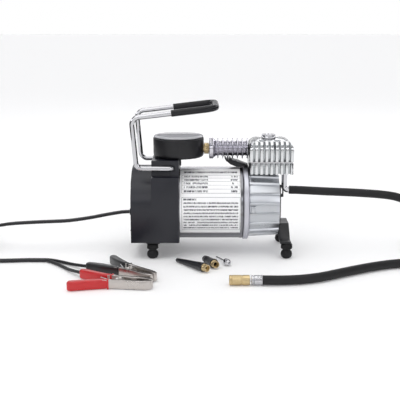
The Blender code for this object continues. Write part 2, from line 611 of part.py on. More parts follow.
def rear_cover():
    """The moulded hood over the motor's rear half, with the saddle that carries the gauge and the handle."""
    bore = CAN_RADIUS + 0.5 * MM
    side = COVER_HALF_WIDTH
    foot = keel(COVER_BOTTOM, KEEL_BOTTOM, KEEL_HALF_WIDTH)
    underside = [(-side, COVER_BOTTOM)] + foot + [(side, COVER_BOTTOM)]
    right_end = underside + [
        (side, COVER_SHOULDER), (SADDLE_HALF_WIDTH, COVER_SHOULDER),
        (SADDLE_HALF_WIDTH, SADDLE_TOP), (-SADDLE_HALF_WIDTH, SADDLE_TOP), (-SADDLE_HALF_WIDTH, COVER_SHOULDER),
        (-side, COVER_SHOULDER),
    ]
    cover = node("rear_cover", prism(right_end, COVER_STEP, COVER_RIGHT), black_plastic())
    left_end = underside + arc((0, AXIS_Z), side, 0, 180, 24)
    join(cover, prism(left_end, COVER_LEFT, COVER_STEP + MM))
    end_wall = COVER_LEFT + COVER_WALL
    cut(cover, rod(bore, end_wall, COVER_RIGHT + MM, (0, 0, AXIS_Z), steps=40))
    low = (end_wall, -side + COVER_WALL, COVER_BOTTOM + COVER_WALL)
    cut(cover, box(low, (COVER_RIGHT - COVER_WALL, side - COVER_WALL, AXIS_Z - 4 * MM)))
    half = Vector((0, SWITCH_HALF_WIDTH + SWITCH_WALL + GAP, SWITCH_HALF_HEIGHT + SWITCH_WALL + GAP))
    middle = Vector((0, SWITCH_Y, SWITCH_Z))
    cut(cover, box(middle - half + Vector((COVER_LEFT - MM, 0, 0)), middle + half + Vector((end_wall + MM, 0, 0))))
    cut(cover, rod(GLAND_RADIUS - MM + GAP, COVER_LEFT - MM, end_wall + MM, (0, GLAND_Y, GLAND_Z), steps=16))
    x, z = HANDLE_PIVOT
    depth = HANDLE_PIN_DEPTH + GAP
    for sign in (-1, 1):
        ends = sorted((sign * (SADDLE_HALF_WIDTH - depth), sign * (SADDLE_HALF_WIDTH + MM)))
        cut(cover, rod(WIRE_RADIUS + RUNNING, *ends, (x, 0, z), "Y", 16))
    clip_low = (COVER_RIGHT - 0.5 * MM, -14 * MM, SADDLE_TOP - 7 * MM)
    join(cover, box(clip_low, (COVER_RIGHT + 2 * MM, -8 * MM, SADDLE_TOP - MM)))


def switch():
    """A rocker in a flanged frame on the cover's end wall, off at rest with its lower half out."""
    half_width, half_height = SWITCH_HALF_WIDTH, SWITCH_HALF_HEIGHT
    face = COVER_LEFT - GAP

    def block(grow, rear, front):
        low = (rear, SWITCH_Y - half_width - grow, SWITCH_Z - half_height - grow)
        return box(low, (front, SWITCH_Y + half_width + grow, SWITCH_Z + half_height + grow))

    frame = node("switch_bezel", block(SWITCH_WALL, face - 0.5 * MM, face + SWITCH_DEPTH), black_plastic())
    join(frame, block(SWITCH_WALL + 1.2 * MM, face - MM, face))
    cut(frame, block(0, face - 2 * MM, face + SWITCH_DEPTH + MM))
    pivot_x = COVER_LEFT + MM
    reach = half_height - 0.6 * MM
    dish = [(-2 * MM, -reach), (-0.9 * MM, 0), (-2 * MM, reach)]
    back = arc((0, 0), reach - 0.5 * MM, 75, -75, 8)
    outline = []
    for x, z in dish + back:
        tilted = Matrix.Rotation(-ROCKER_TILT, 2) @ Vector((x, z))
        outline.append((pivot_x + tilted.x, SWITCH_Z + tilted.y))
    half = half_width - RUNNING
    paddle = prism(outline, SWITCH_Y - half, SWITCH_Y + half, "Y")
    node("rocker_switch", paddle, black_plastic(), (pivot_x, SWITCH_Y, SWITCH_Z), smooth=False)


def cord_gland():
    face = COVER_LEFT - GAP
    profile = [
        (0, face - GLAND_LENGTH), (GLAND_RADIUS - 0.8 * MM, face - GLAND_LENGTH), (GLAND_RADIUS, face - 1.2 * MM),
        (GLAND_RADIUS, face), (GLAND_RADIUS - MM, face), (GLAND_RADIUS - MM, face + 4 * MM), (0, face + 4 * MM),
    ]
    node("cord_gland", turned(profile, (0, GLAND_Y, GLAND_Z), steps=16), rubber())


def stands():
    """Two black sheet-steel stands, the rear one under the cover, the front one on the crankcase's end."""
    paint = material("black_paint", (0.02, 0.02, 0.022), 0.4)
    seat = FOOT_HEIGHT + GAP
    end = FOOT_SPREAD + LEG_WIDTH / 2
    thin = COVER_BOTTOM - GAP - seat
    upper = keel(COVER_BOTTOM - GAP, KEEL_BOTTOM - GAP, KEEL_HALF_WIDTH + 0.6 * MM)
    lower = keel(seat, KEEL_BOTTOM - GAP - thin, KEEL_HALF_WIDTH + 0.6 * MM)
    strap = [(-end, COVER_BOTTOM - GAP)] + upper + [(end, COVER_BOTTOM - GAP), (end, seat)] + lower[::-1]
    strap.append((-end, seat))
    rear = prism(strap, REAR_FOOT_X - 6 * MM, REAR_FOOT_X + 6 * MM)
    node("rear_stand", rear, paint, smooth=False)
    outline = [
        (-6 * MM, FRONT_PLATE_TOP), (-20 * MM, 56 * MM), (-20 * MM, 40 * MM), (-11 * MM, FRONT_PLATE_BOTTOM),
        (11 * MM, FRONT_PLATE_BOTTOM), (20 * MM, 40 * MM), (20 * MM, 56 * MM), (6 * MM, FRONT_PLATE_TOP),
    ]
    plate_front = FRONT_PLATE_X + STAND_THICKNESS
    plate = node("front_stand", prism(outline, FRONT_PLATE_X, plate_front), paint, smooth=False)
    top, thick = FRONT_PLATE_BOTTOM + 6 * MM, STAND_THICKNESS
    upper = [(-end, seat + thick), (-end + 9 * MM, seat + thick), (-11 * MM, top)]
    lower = [(-11 * MM, top - thick), (-end + 9.5 * MM, seat), (-end, seat)]
    arch = upper + [(-y, z) for y, z in reversed(upper)] + [(-y, z) for y, z in reversed(lower)] + lower
    join(plate, prism(arch, FRONT_PLATE_X + 0.2 * MM, FRONT_FOOT_X + LEG_WIDTH / 2 - 3 * MM))
    loop = rounded_block(
        (plate_front - MM, -9 * MM, FRONT_PLATE_TOP - 12 * MM), (plate_front + 3.4 * MM, -6 * MM, FRONT_PLATE_TOP),
        0.8 * MM, lambda at: abs(at.y + 7.5 * MM) < MM, 2,
    )
    join(plate, loop)
    slot = (plate_front + 0.8 * MM, -10 * MM, FRONT_PLATE_TOP - 9 * MM)
    cut(plate, box(slot, (plate_front + 2.2 * MM, -5 * MM, FRONT_PLATE_TOP - 2.5 * MM)))


def feet():
    radius = FOOT_RADIUS
    profile = [
        (0, 0), (0.55 * radius, 0), (0.88 * radius, 1.4 * MM), (radius, 4 * MM), (0.9 * radius, 6.8 * MM),
        (0.68 * radius, 8 * MM), (0.68 * radius, 9.2 * MM), (radius, 9.8 * MM), (radius, 13.4 * MM),
        (0.8 * radius, FOOT_HEIGHT), (0, FOOT_HEIGHT),
    ]
    for end, x in (("rear", REAR_FOOT_X), ("front", FRONT_FOOT_X - 2 * MM)):
        for side, y in (("near", -FOOT_SPREAD), ("far", FOOT_SPREAD)):
            node(f"foot_{end}_{side}", turned(profile, (x, y, 0), "Z", 16), rubber())


def handle():
    """One bent wire: pins in the saddle, legs back and up past the cover, and a bar with a dipped grip."""
    x, z = HANDLE_PIVOT
    pin = SADDLE_HALF_WIDTH - HANDLE_PIN_DEPTH
    side = HANDLE_SPREAD
    heel, top, end = (-60.5 * MM, z), (-64.5 * MM, z + 48.3 * MM), (15 * MM, z + 57.7 * MM)
    corners = [(x, -pin, z), (x, -side, z)]
    corners += [(u, -side, w) for u, w in (heel, top, end)]
    corners += [(u, side, w) for u, w in (end, top, heel)]
    corners += [(x, side, z), (x, pin, z)]
    radii = [MM * r for r in (3.2, 6, 6, 9, 9, 6, 6, 3.2)]
    path = rounded_path(corners, radii)
    sweep("handle_wire", path, WIRE_RADIUS, chrome(), 2, (x, 0, z))
    slope = (end[1] - top[1]) / (end[0] - top[0])
    start = (GRIP_START, -side, top[1] + slope * (GRIP_START - top[0]))
    grip_corners = [start, (end[0], -side, end[1]), (end[0], side, end[1]), (start[0], side, start[2])]
    grip_path = rounded_path(grip_corners, [9 * MM, 9 * MM])
    vinyl = material("black_vinyl", (0.015, 0.015, 0.015), 0.35)
    node("handle_grip", swept(grip_path, GRIP_RADIUS, WIRE_RADIUS + GAP), vinyl, (x, 0, z))


def swept(path, outer, inner, sides=12):
    """A sleeve of even wall along a polyline: a ring of its section at each point, joined to the next."""
    bm = blank()
    rings = []
    for index, at in enumerate(path):
        before, after = path[max(index - 1, 0)], path[min(index + 1, len(path) - 1)]
        forward = (Vector(after) - Vector(before)).normalized()
        across = forward.cross(Vector((0, 0.123, 1))).normalized()
        up = across.cross(forward)
        ring = []
        for radius in (outer, inner):
            angles = [math.tau * k / sides for k in range(sides)]
            spokes = [across * math.cos(a) + up * math.sin(a) for a in angles]
            ring.append([bm.verts.new(Vector(at) + radius * spoke) for spoke in spokes])
        rings.append(ring)
    for one, two in zip(rings, rings[1:]):
        for a, b in zip(one, two):
            for k in range(sides):
                bm.faces.new((a[k], a[k - 1], b[k - 1], b[k]))
    for ring in (rings[0], rings[-1]):
        for k in range(sides):
            bm.faces.new((ring[0][k], ring[0][k - 1], ring[1][k - 1], ring[1][k]))
    return bm


def pipe_saddle():
    """The rubber wedge that the pipe's discs rest on, with two teeth between them."""
    top = PIPE_Z - PIPE_DISC_RADIUS - GAP
    seat = AXIS_Z + FLANGE_RADIUS + GAP
    outline = [
        (24 * MM, top + 1.8 * MM), (25.8 * MM, top + 1.8 * MM), (26 * MM, top), (28.6 * MM, top),
        (28.8 * MM, top + 1.4 * MM), (30.6 * MM, top + 1.2 * MM), (30.8 * MM, top), (38 * MM, top - 1.8 * MM),
        (PIPE_RIGHT - 0.6 * MM, seat + 1.4 * MM), (PIPE_RIGHT - 0.6 * MM, seat), (36 * MM, seat),
        (30 * MM, seat + 2.4 * MM), (25.4 * MM, top - 0.8 * MM),
    ]
    node("pipe_saddle", prism(outline, -8 * MM, 8 * MM, "Y"), rubber(), smooth=False)


# Routes in millimetres, chosen by hand, in assembly coordinates.
HOSE_OUT_ROUTE = [
    (88.8, 0, 61.6), (100, 0, 61.3), (125, 0, 60), (161, 0, 58.3), (190, 1, 55.5), (208, 4, 50), (226, 12, 41),
    (243, 23, 30), (258, 32, 19.5), (272, 36, 12.9),
]
HOSE_BACK_ROUTE = [
    (236.3, -60.3, 4.3), (215, -60.8, 4.3), (188, -62.5, 4.3), (168, -69, 4.3), (147, -79.5, 4.3),
    (126, -92, 4.3), (106, -104, 4.3), (87, -110.6, 4.3), (70, -112.8, 4.4), (54.6, -113, 4.6),
]
CORD_OUT_ROUTE = [
    (-72.2, 14, 36), (-80, 13.6, 35.6), (-94, 12, 33.6), (-112, 8, 31), (-134.5, 3, 29), (-161.6, 0, 28.5),
    (-190, 1, 26.5), (-208, 7, 22.5), (-226, 18, 17.5), (-243, 29, 14), (-262, 34, 13.2),
]
CORD_BACK_ROUTE = [
    (-237.5, -43.8, 2.8), (-215, -45.4, 2.8), (-190, -45.6, 2.8), (-165, -43.4, 2.8), (-147.4, -43.6, 2.8),
]
LEAD_BLACK_ROUTE = [
    (-146.8, -41.9, 1.7), (-140, -44.6, 1.7), (-133.5, -48.4, 1.7), (-121, -57.6, 2), (-112, -66.2, 3.4),
    (-103.9, -72.1, 4.3),
]
LEAD_RED_ROUTE = [
    (-146.8, -45.3, 1.7), (-140, -50.8, 1.7), (-131, -61, 1.7), (-121.6, -73, 2), (-114, -83.6, 3.4),
    (-108.6, -90, 4.3),
]
HOSE_COIL = {"centre": (266 * MM, -10 * MM), "inner": 37 * MM, "outer": 54.5 * MM, "height": 8.6 * MM}
CORD_COIL = {"centre": (-260 * MM, 0), "inner": 21.5 * MM, "outer": 46.5 * MM, "height": 10 * MM}


def coil(name, size, finish):
    ring = tube(size["inner"], size["outer"], 0, size["height"], (*size["centre"], 0), "Z", 32)
    node(name, ring, finish)


def hose():
    corner = (84 * MM, 0, HOSE_Z)
    path = rounded_path([(corner[0], 0, BLOCK_BOTTOM - GAP), corner, (88.4 * MM, 0, HOSE_Z)], [3.4 * MM], 4)
    sweep("hose_elbow", path, ELBOW_RADIUS, chrome(), 3)
    spacing = 2.5 * HOSE_DIAMETER / 2
    sweep("hose_out", smooth_route(HOSE_OUT_ROUTE, spacing), HOSE_DIAMETER / 2, rubber(), 3)
    sweep("hose_back", smooth_route(HOSE_BACK_ROUTE, spacing), HOSE_DIAMETER / 2, rubber(), 3)
    coil("hose_coil", HOSE_COIL, rubber())
    pivot = (0, CHUCK_Y, CHUCK_Z)
    stem, hole = 2 * MM, 2 * MM + RUNNING
    retainer = CHUCK_STEP - 1.4 * MM
    profile = [
        (0, retainer), (3 * MM, retainer), (3 * MM, CHUCK_STEP), (stem, CHUCK_STEP), (stem, FERRULE_LEFT),
        (CHUCK_RADIUS, FERRULE_LEFT), (CHUCK_RADIUS, FERRULE_RIGHT), (0, FERRULE_RIGHT),
    ]
    node("hose_ferrule", turned(profile, pivot, steps=20), chrome())
    shoulder = CHUCK_STEP + RUNNING
    profile = [
        (CHUCK_SOCKET, CHUCK_LEFT), (CHUCK_RADIUS, CHUCK_LEFT), (CHUCK_RADIUS, CHUCK_RIGHT), (hole, CHUCK_RIGHT),
        (hole, shoulder), (CHUCK_SOCKET, shoulder),
    ]
    node("chuck_nut", turned(profile, pivot, steps=20), brass(), (CHUCK_LEFT, CHUCK_Y, CHUCK_Z))


def cord():
    spacing = 2.5 * CORD_DIAMETER
    sweep("cord_out", smooth_route(CORD_OUT_ROUTE, spacing), CORD_DIAMETER / 2, rubber(), 2)
    sweep("cord_back", smooth_route(CORD_BACK_ROUTE, spacing), CORD_DIAMETER / 2, rubber(), 2)
    coil("cord_coil", CORD_COIL, rubber())
    spacing = 3 * LEAD_DIAMETER
    sweep("lead_black", smooth_route(LEAD_BLACK_ROUTE, spacing), LEAD_DIAMETER / 2, rubber(), 2)
    sweep("lead_red", smooth_route(LEAD_RED_ROUTE, spacing), LEAD_DIAMETER / 2, rubber(), 2)


def clamp(name, pivot, angle, spread, finish):
    """A battery clamp lying on its side: two arms on one upright rivet, jaws at +u and handles at -u."""
    knuckle, middle_low, middle_high = 3.2 * MM, 2.6 * MM, 6 * MM
    tail = -41 * MM
    jaw = [
        (28 * MM, 0.2 * MM), (28.4 * MM, 4 * MM), (24 * MM, 6.2 * MM), (4 * MM, 7 * MM), (-5 * MM, 7.6 * MM),
        (tail - MM, spread + 4 * MM), (tail + 1.4 * MM, spread - 4 * MM), (-7 * MM, 3.8 * MM), (7 * MM, 3.8 * MM),
        (12 * MM, 3.2 * MM), (23 * MM, 2.6 * MM), (25.4 * MM, 0.2 * MM),
    ]
    place = Matrix.Translation((*pivot, 0)) @ Matrix.Rotation(math.radians(angle), 4, "Z")
    for side, sign in (("near", -1), ("far", 1)):
        outline = [(u, sign * w) for u, w in jaw]
        arm = prism(outline, 0.1 * MM, CLAMP_HEIGHT, "Z")
        bmesh.ops.transform(arm, matrix=place, verts=arm.verts)
        arm = node(f"{name}_{side}", arm, finish, (*pivot, 0), smooth=False)
        levels = [(middle_low, middle_high)] if sign > 0 else [
            (0.1 * MM, middle_low - RUNNING), (middle_high + RUNNING, CLAMP_HEIGHT)
        ]
        for low, high in levels:
            ear = blank()
            round_end = arc((0, 0), knuckle, 180, 360, 8) if sign > 0 else arc((0, 0), knuckle, 0, 180, 8)
            lug = round_end + [(knuckle, sign * 5 * MM), (-knuckle, sign * 5 * MM)][:: sign]
            prism(lug, low, high, "Z", ear)
            bmesh.ops.transform(ear, matrix=place, verts=ear.verts)
            join(arm, ear)
        if sign > 0:
            cut(arm, rod(1.2 * MM + RUNNING, 0, CLAMP_HEIGHT + MM, (*pivot, 0), "Z", 12))
        else:
            join(arm, rod(1.2 * MM, MM, CLAMP_HEIGHT - MM, (*pivot, 0), "Z", 12))


def clamps():
    red = material("red_vinyl", (0.6, 0.02, 0.03), 0.4)
    clamp("red_clamp", (-69 * MM, -117.5 * MM), -10, 17 * MM, red)
    clamp("black_clamp", (-62 * MM, -87.5 * MM), -40, 15 * MM, black_plastic())


def lying(profile, tip, end):
    """A turned piece lying on the floor from its tip to its end, both in millimetres."""
    tip, end = Vector(tip) * MM, Vector(end) * MM
    bm = blank()
    turned(profile, axis="Z", steps=16, bm=bm)
    turn = Vector((0, 0, 1)).rotation_difference(end - tip).to_matrix().to_4x4()
    bmesh.ops.transform(bm, matrix=Matrix.Translation(tip) @ turn, verts=bm.verts)
    return bm


def nozzles():
    plastic = black_plastic()
    long_cone = [(1, 0), (1.9, 0), (4.35, 40.6), (4.35, 41), (3.4, 41), (3.4, 45.5), (1, 45.5)]
    short_cone = [(2, 0), (3.2, 0), (4.4, 21.5), (4.4, 22), (3.4, 22), (3.4, 26.5), (2, 26.5)]
    needle = [(0, 0), (0.9, 0), (0.9, 21), (1.6, 22), (3.1, 22), (3.1, 27), (2.2, 27), (2.2, 29.5), (0, 29.5)]
    for name, profile, tip, end, finish in (
        ("long_nozzle", long_cone, (-22, -44.5, 2.1), (3.7, -76, 4.5), plastic),
        ("short_nozzle", short_cone, (4.8, -44.5, 3.4), (13.1, -64.5, 4.6), plastic),
        ("ball_needle", needle, (15.6, -32.7, 1.9), (26.8, -58.4, 3.6), chrome()),
    ):
        node(name, lying([(r * MM, along * MM) for r, along in profile], tip, end), finish)


for old in list(bpy.data.objects):
    bpy.data.objects.remove(old)
ASSEMBLY = bpy.data.objects.new("assembly", None)
ASSEMBLY.location = ASSEMBLY_SHIFT
bpy.context.scene.collection.objects.link(ASSEMBLY)
motor()
crankcase()
crank()
piston()
cylinder()
outlet_pipe()
gauge()
rear_cover()
switch()
cord_gland()
stands()
feet()
handle()
pipe_saddle()
hose()
cord()
clamps()
nozzles()
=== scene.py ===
"""Looks for the portable tire inflator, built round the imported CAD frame.

Pieces are drawn in millimetres in the assembly frame (motor axis at y = 0, floor at z = 0) and moved into the
frame's metres by `INTO_FRAME`. Places come from the CAD nodes' boxes wherever a node gives them.
"""

import math

import bmesh
import bpy
from mathutils import Matrix, Vector


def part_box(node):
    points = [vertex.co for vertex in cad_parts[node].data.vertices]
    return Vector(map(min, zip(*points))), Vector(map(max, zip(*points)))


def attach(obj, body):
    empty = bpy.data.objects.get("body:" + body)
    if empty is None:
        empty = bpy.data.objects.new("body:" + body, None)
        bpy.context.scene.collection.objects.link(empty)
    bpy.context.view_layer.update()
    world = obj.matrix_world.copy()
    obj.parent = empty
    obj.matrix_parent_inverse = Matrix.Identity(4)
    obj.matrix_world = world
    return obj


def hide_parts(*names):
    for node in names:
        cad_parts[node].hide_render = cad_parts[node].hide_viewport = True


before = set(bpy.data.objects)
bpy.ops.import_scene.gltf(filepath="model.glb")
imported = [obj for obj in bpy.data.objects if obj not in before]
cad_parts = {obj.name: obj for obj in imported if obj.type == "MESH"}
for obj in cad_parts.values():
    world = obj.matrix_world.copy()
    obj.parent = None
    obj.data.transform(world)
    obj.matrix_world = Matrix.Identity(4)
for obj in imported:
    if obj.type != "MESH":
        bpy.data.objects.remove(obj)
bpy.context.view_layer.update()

MM = 0.001
SHIFT = Vector((-9.3, 22.2, 0)) * MM
INTO_FRAME = Matrix.Translation(SHIFT) @ Matrix.Scale(MM, 4)
AXIS_Z = 49
PIPE_Z = 103.5


def span(name):
    """A CAD node's lowest and highest corners in assembly millimetres."""
    low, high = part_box(name)
    return (low - SHIFT) / MM, (high - SHIFT) / MM


# Camera, floor and light

BOARD_HEIGHT, BOARD_LENGTH = 0.34, 1.3
BOARD_REACH = 0.62


def black_boards():
    """A board on each side that only reflections show, for the dark edges in the chrome."""
    black = bpy.data.materials.new("flag_cloth")
    black.use_nodes = True
    black.node_tree.nodes["Principled BSDF"].inputs["Base Color"].default_value = (0.01, 0.01, 0.01, 1)
    for side in (-1, 1):
        bm = bmesh.new()
        bmesh.ops.create_grid(bm, x_segments=1, y_segments=1, size=0.5)
        flag = bpy.data.meshes.new("flag")
        bm.to_mesh(flag)
        bm.free()
        flag.materials.append(black)
        board = bpy.data.objects.new("flag", flag)
        board.location = (BOARD_REACH * side, 0.25, 0.06)
        board.rotation_euler = (0, math.radians(90), 0)
        board.scale = (BOARD_HEIGHT, BOARD_LENGTH, 1)
        board.visible_camera = board.visible_diffuse = board.visible_shadow = False
        bpy.context.scene.collection.objects.link(board)


def studio():
    camera_data = bpy.data.cameras.new("camera")
    camera_data.lens = 69
    camera_data.sensor_width = 36
    camera = bpy.data.objects.new("camera", camera_data)
    camera.location = INTO_FRAME @ Vector((0, -750, 216))
    camera.rotation_euler = (math.radians(90 - 12.4), 0, 0)
    bpy.context.scene.collection.objects.link(camera)
    bpy.context.scene.camera = camera
    bm = bmesh.new()
    bmesh.ops.create_grid(bm, x_segments=1, y_segments=1, size=60)
    mesh = bpy.data.meshes.new("floor")
    bm.to_mesh(mesh)
    bm.free()
    floor = bpy.data.objects.new("floor", mesh)
    floor.location = (0, 0, -0.0002)
    bpy.context.scene.collection.objects.link(floor)
    black_boards()
    paper = bpy.data.materials.new("studio_paper")
    paper.use_nodes = True
    shader = paper.node_tree.nodes["Principled BSDF"]
    shader.inputs["Base Color"].default_value = (0.93, 0.93, 0.93, 1)
    shader.inputs["Roughness"].default_value = 0.9
    shader.inputs["Specular IOR Level"].default_value = 0.1
    shader.inputs["Emission Color"].default_value = (1, 1, 1, 1)
    shader.inputs["Emission Strength"].default_value = 0.085
    mesh.materials.append(paper)
    for name, place, size, power in (
        ("key_light", (-0.55, -0.75, 0.95), 0.8, 1.65),
        ("fill_light", (0.75, -0.6, 0.7), 0.7, 0.60),
        ("back_light", (0.1, 0.9, 1.0), 1.0, 1.80),
    ):
        light = bpy.data.lights.new(name, "AREA")
        light.size = size
        light.energy = power
        lamp = bpy.data.objects.new(name, light)
        lamp.location = place
        lamp.rotation_euler = (Vector((0, 0, 0.07)) - Vector(place)).to_track_quat("-Z", "Y").to_euler()
        bpy.context.scene.collection.objects.link(lamp)
    sun = bpy.data.lights.new("overhead", "SUN")
    sun.energy = 0.570
    sun.angle = math.radians(70)
    lamp = bpy.data.objects.new("overhead", sun)
    lamp.rotation_euler = (math.radians(12), math.radians(-8), 0)
    bpy.context.scene.collection.objects.link(lamp)
    world = bpy.data.worlds.new("studio")
    bpy.context.scene.world = world
    world.use_nodes = True
    tree = Tree(world.node_tree)
    direction = tree.add("ShaderNodeTexCoord")["Generated"]
    parts = tree.add("ShaderNodeSeparateXYZ", Vector=direction)
    height = parts["Z"]
    color = tree.ramp(height, [
        (0.0, (1.0, 1.0, 1.0)), (0.07, (1.0, 1.0, 1.0)), (0.1, (0.1, 0.1, 0.11)), (0.26, (0.14, 0.14, 0.15)),
        (0.3, (2.3, 2.3, 2.35)), (0.44, (2.3, 2.3, 2.35)),
        (0.48, (0.1, 0.1, 0.11)), (0.76, (0.12, 0.12, 0.13)),
        (0.82, (1.0, 1.0, 1.0)),
    ])
    world.node_tree.nodes["Background"].inputs["Strength"].default_value = 1.0
    tree.link(color, world.node_tree.nodes["Background"].inputs["Color"])
    bpy.context.scene.view_settings.view_transform = "Standard"


# Shader maths

class Value:
    """A number socket that adds Math nodes when it is used in an expression."""

    def __init__(self, tree, socket):
        self.tree = tree
        self.socket = socket

    def maths(self, operation, *others):
        return self.tree.maths(operation, self, *others)

    def __add__(self, other):
        return self.maths("ADD", other)

    def __sub__(self, other):
        return self.maths("SUBTRACT", other)

    def __rsub__(self, other):
        return self.tree.maths("SUBTRACT", other, self)

    def __mul__(self, other):
        return self.maths("MULTIPLY", other)

    def __truediv__(self, other):
        return self.maths("DIVIDE", other)

    def __lt__(self, other):
        return self.maths("LESS_THAN", other)

    def __gt__(self, other):
        return self.maths("GREATER_THAN", other)

    __radd__ = __add__
    __rmul__ = __mul__

    def absolute(self):
        return self.maths("ABSOLUTE")

    def fraction(self):
        return self.maths("FRACT")

    def floor(self):
        return self.maths("FLOOR")


class Tree:
    """Adds nodes to a node tree by type, settings and the values or links of its sockets."""

    def __init__(self, node_tree):
        self.nodes = node_tree.nodes
        self.links = node_tree.links

    def link(self, value, socket):
        source = value.socket if isinstance(value, Value) else value
        if isinstance(source, bpy.types.NodeSocket):
            self.links.new(source, socket)
        else:
            socket.default_value = source

    def add(self, kind, settings=(), **inputs):
        made = self.nodes.new(kind)
        for name, setting in dict(settings).items():
            setattr(made, name, setting)
        for name, value in inputs.items():
            self.link(value, made.inputs[name.replace("_", " ")])
        return {socket.name: Value(self, socket) for socket in made.outputs}

    def maths(self, operation, *values):
        made = self.nodes.new("ShaderNodeMath")
        made.operation = operation
        for socket, value in zip(made.inputs, values):
            self.link(value, socket)
        return Value(self, made.outputs[0])

    def ramp(self, factor, stops):
        made = self.nodes.new("ShaderNodeValToRGB")
        elements = made.color_ramp.elements
        elements.remove(elements[1])
        elements[0].position = stops[0][0]
        elements[0].color = (*stops[0][1], 1)
        for place, color in stops[1:]:
            elements.new(place).color = (*color, 1)
        self.link(factor, made.inputs["Fac"])
        return made.outputs["Color"]

    def mix(self, factor, one, two, blend="MIX"):
        made = self.nodes.new("ShaderNodeMix")
        made.data_type = "RGBA"
        made.blend_type = blend
        self.link(factor, made.inputs["Factor"])
        for socket, value in ((made.inputs[6], one), (made.inputs[7], two)):
            self.link((*value, 1) if isinstance(value, tuple) and len(value) == 3 else value, socket)
        return made.outputs[2]

    def noise(self, where, scale, detail=2.0, roughness=0.5):
        made = self.add("ShaderNodeTexNoise", Vector=where, Scale=scale, Detail=detail, Roughness=roughness)
        return made["Fac"]

    def bump(self, height, strength, distance):
        return self.add("ShaderNodeBump", Strength=strength, Distance=distance, Height=height)["Normal"]


class Finish:
    """One material: its tree, its Principled shader, and coordinates on the object or its UV map."""

    made = {}

    def __init__(self, name, **sockets):
        self.material = bpy.data.materials.new(name)
        self.material.use_nodes = True
        self.tree = Tree(self.material.node_tree)
        self.shader = self.material.node_tree.nodes["Principled BSDF"]
        coordinates = self.tree.add("ShaderNodeTexCoord")
        self.where = coordinates["Object"].socket
        self.uv = coordinates["UV"].socket
        self.set(**sockets)
        Finish.made[name] = self

    def set(self, **sockets):
        for name, value in sockets.items():
            if isinstance(value, tuple) and len(value) == 3:
                value = (*value, 1)
            self.tree.link(value, self.shader.inputs[name.replace("_", " ")])

    def stretched(self, x, y, z):
        """Object coordinates scaled along each axis."""
        return self.tree.add("ShaderNodeMapping", Vector=self.where, Scale=(x, y, z))["Vector"]


def grained_plastic(name, color, roughness, grain=0.25):
    """Moulded plastic with a fine grain, faint mottling and slightly uneven gloss."""
    finish = Finish(name, Specular_IOR_Level=0.45)
    tree = finish.tree
    fine = tree.noise(finish.where, 2600, 3)
    broad = tree.noise(finish.where, 60, 4)
    light = tuple(min(1, c * 1.3 + 0.003) for c in color)
    finish.set(
        Base_Color=tree.mix(broad, color, light),
        Roughness=roughness - 0.05 + 0.1 * broad + 0.06 * fine,
        Normal=tree.bump(fine, grain, 0.0001),
    )
    return finish


def metal(name, color, roughness, spread=0.08, grain=0.1, scale=900, brushed=None):
    """Bare or plated metal: uneven gloss, a faint tint drift, and a cast or brushed grain."""
    finish = Finish(name, Metallic=1.0)
    tree = finish.tree
    where = finish.stretched(*brushed) if brushed else finish.where
    fine = tree.noise(where, scale, 3)
    broad = tree.noise(finish.where, 45, 3)
    dull = tuple(c * 0.86 for c in color)
    finish.set(
        Base_Color=tree.mix(broad, dull, color),
        Roughness=roughness + spread * (broad - 0.5) + spread * 0.6 * (fine - 0.5),
        Normal=tree.bump(fine, grain, 0.0001),
    )
    return finish


def rubber_skin(name, color, roughness, scale=1500):
    """Rubber or soft PVC with a dusty bloom."""
    finish = Finish(name, Specular_IOR_Level=0.3)
    tree = finish.tree
    fine = tree.noise(finish.where, scale, 3)
    bloom = tree.noise(finish.where, 90, 4)
    dusty = tuple(c + 0.009 for c in color)
    finish.set(
        Base_Color=tree.mix(bloom, color, dusty),
        Roughness=roughness + 0.14 * (bloom - 0.5),
        Normal=tree.bump(fine, 0.2, 0.0001),
    )
    return finish


def dipped_vinyl(name, color, deep):
    """Soft vinyl sleeving: glossy skin, slow orange-peel waves and darker thick spots."""
    finish = Finish(name, Coat_Roughness=0.18, Subsurface_Weight=0.0)
    tree = finish.tree
    wave = tree.noise(finish.where, 260, 2)
    patch = tree.noise(finish.where, 50, 3)
    finish.set(
        Base_Color=tree.mix(patch, deep, color),
        Roughness=0.36 + 0.12 * (wave - 0.5),
        Coat_Weight=0.15 + 0.2 * patch,
        Normal=tree.bump(wave, 0.12, 0.0003),
    )
    return finish


# Mesh helpers, all in assembly millimetres

FACING = {
    "Z": Matrix.Identity(4),
    "X": Matrix.Rotation(math.pi / 2, 4, "Y"),
    "Y": Matrix.Rotation(-math.pi / 2, 4, "X"),
}


def piece(name, bm, looks, body, stands_for=(), sharp=35):
    """Finishes a mesh: merges it, turns its faces out, moves it into the frame and puts it on its body."""
    bmesh.ops.remove_doubles(bm, verts=bm.verts, dist=0.001)
    bmesh.ops.recalc_face_normals(bm, faces=bm.faces)
    bmesh.ops.transform(bm, matrix=INTO_FRAME, verts=bm.verts)
    mesh = bpy.data.meshes.new(name)
    bm.to_mesh(mesh)
    bm.free()
    for look in looks:
        mesh.materials.append(Finish.made[look].material)
    mesh.shade_smooth()
    mesh.set_sharp_from_angle(angle=math.radians(sharp))
    made = bpy.data.objects.new(name, mesh)
    bpy.context.scene.collection.objects.link(made)
    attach(made, body)
    if stands_for:
        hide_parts(*stands_for)
    return made


def fresh(bm, old, matrix, slot):
    """Moves the vertices that aren't in `old` and gives their faces a material slot."""
    made = [v for v in bm.verts if v not in old]
    if matrix:
        bmesh.ops.transform(bm, matrix=matrix, verts=made)
    for face in {f for v in made for f in v.link_faces}:
        face.material_index = slot


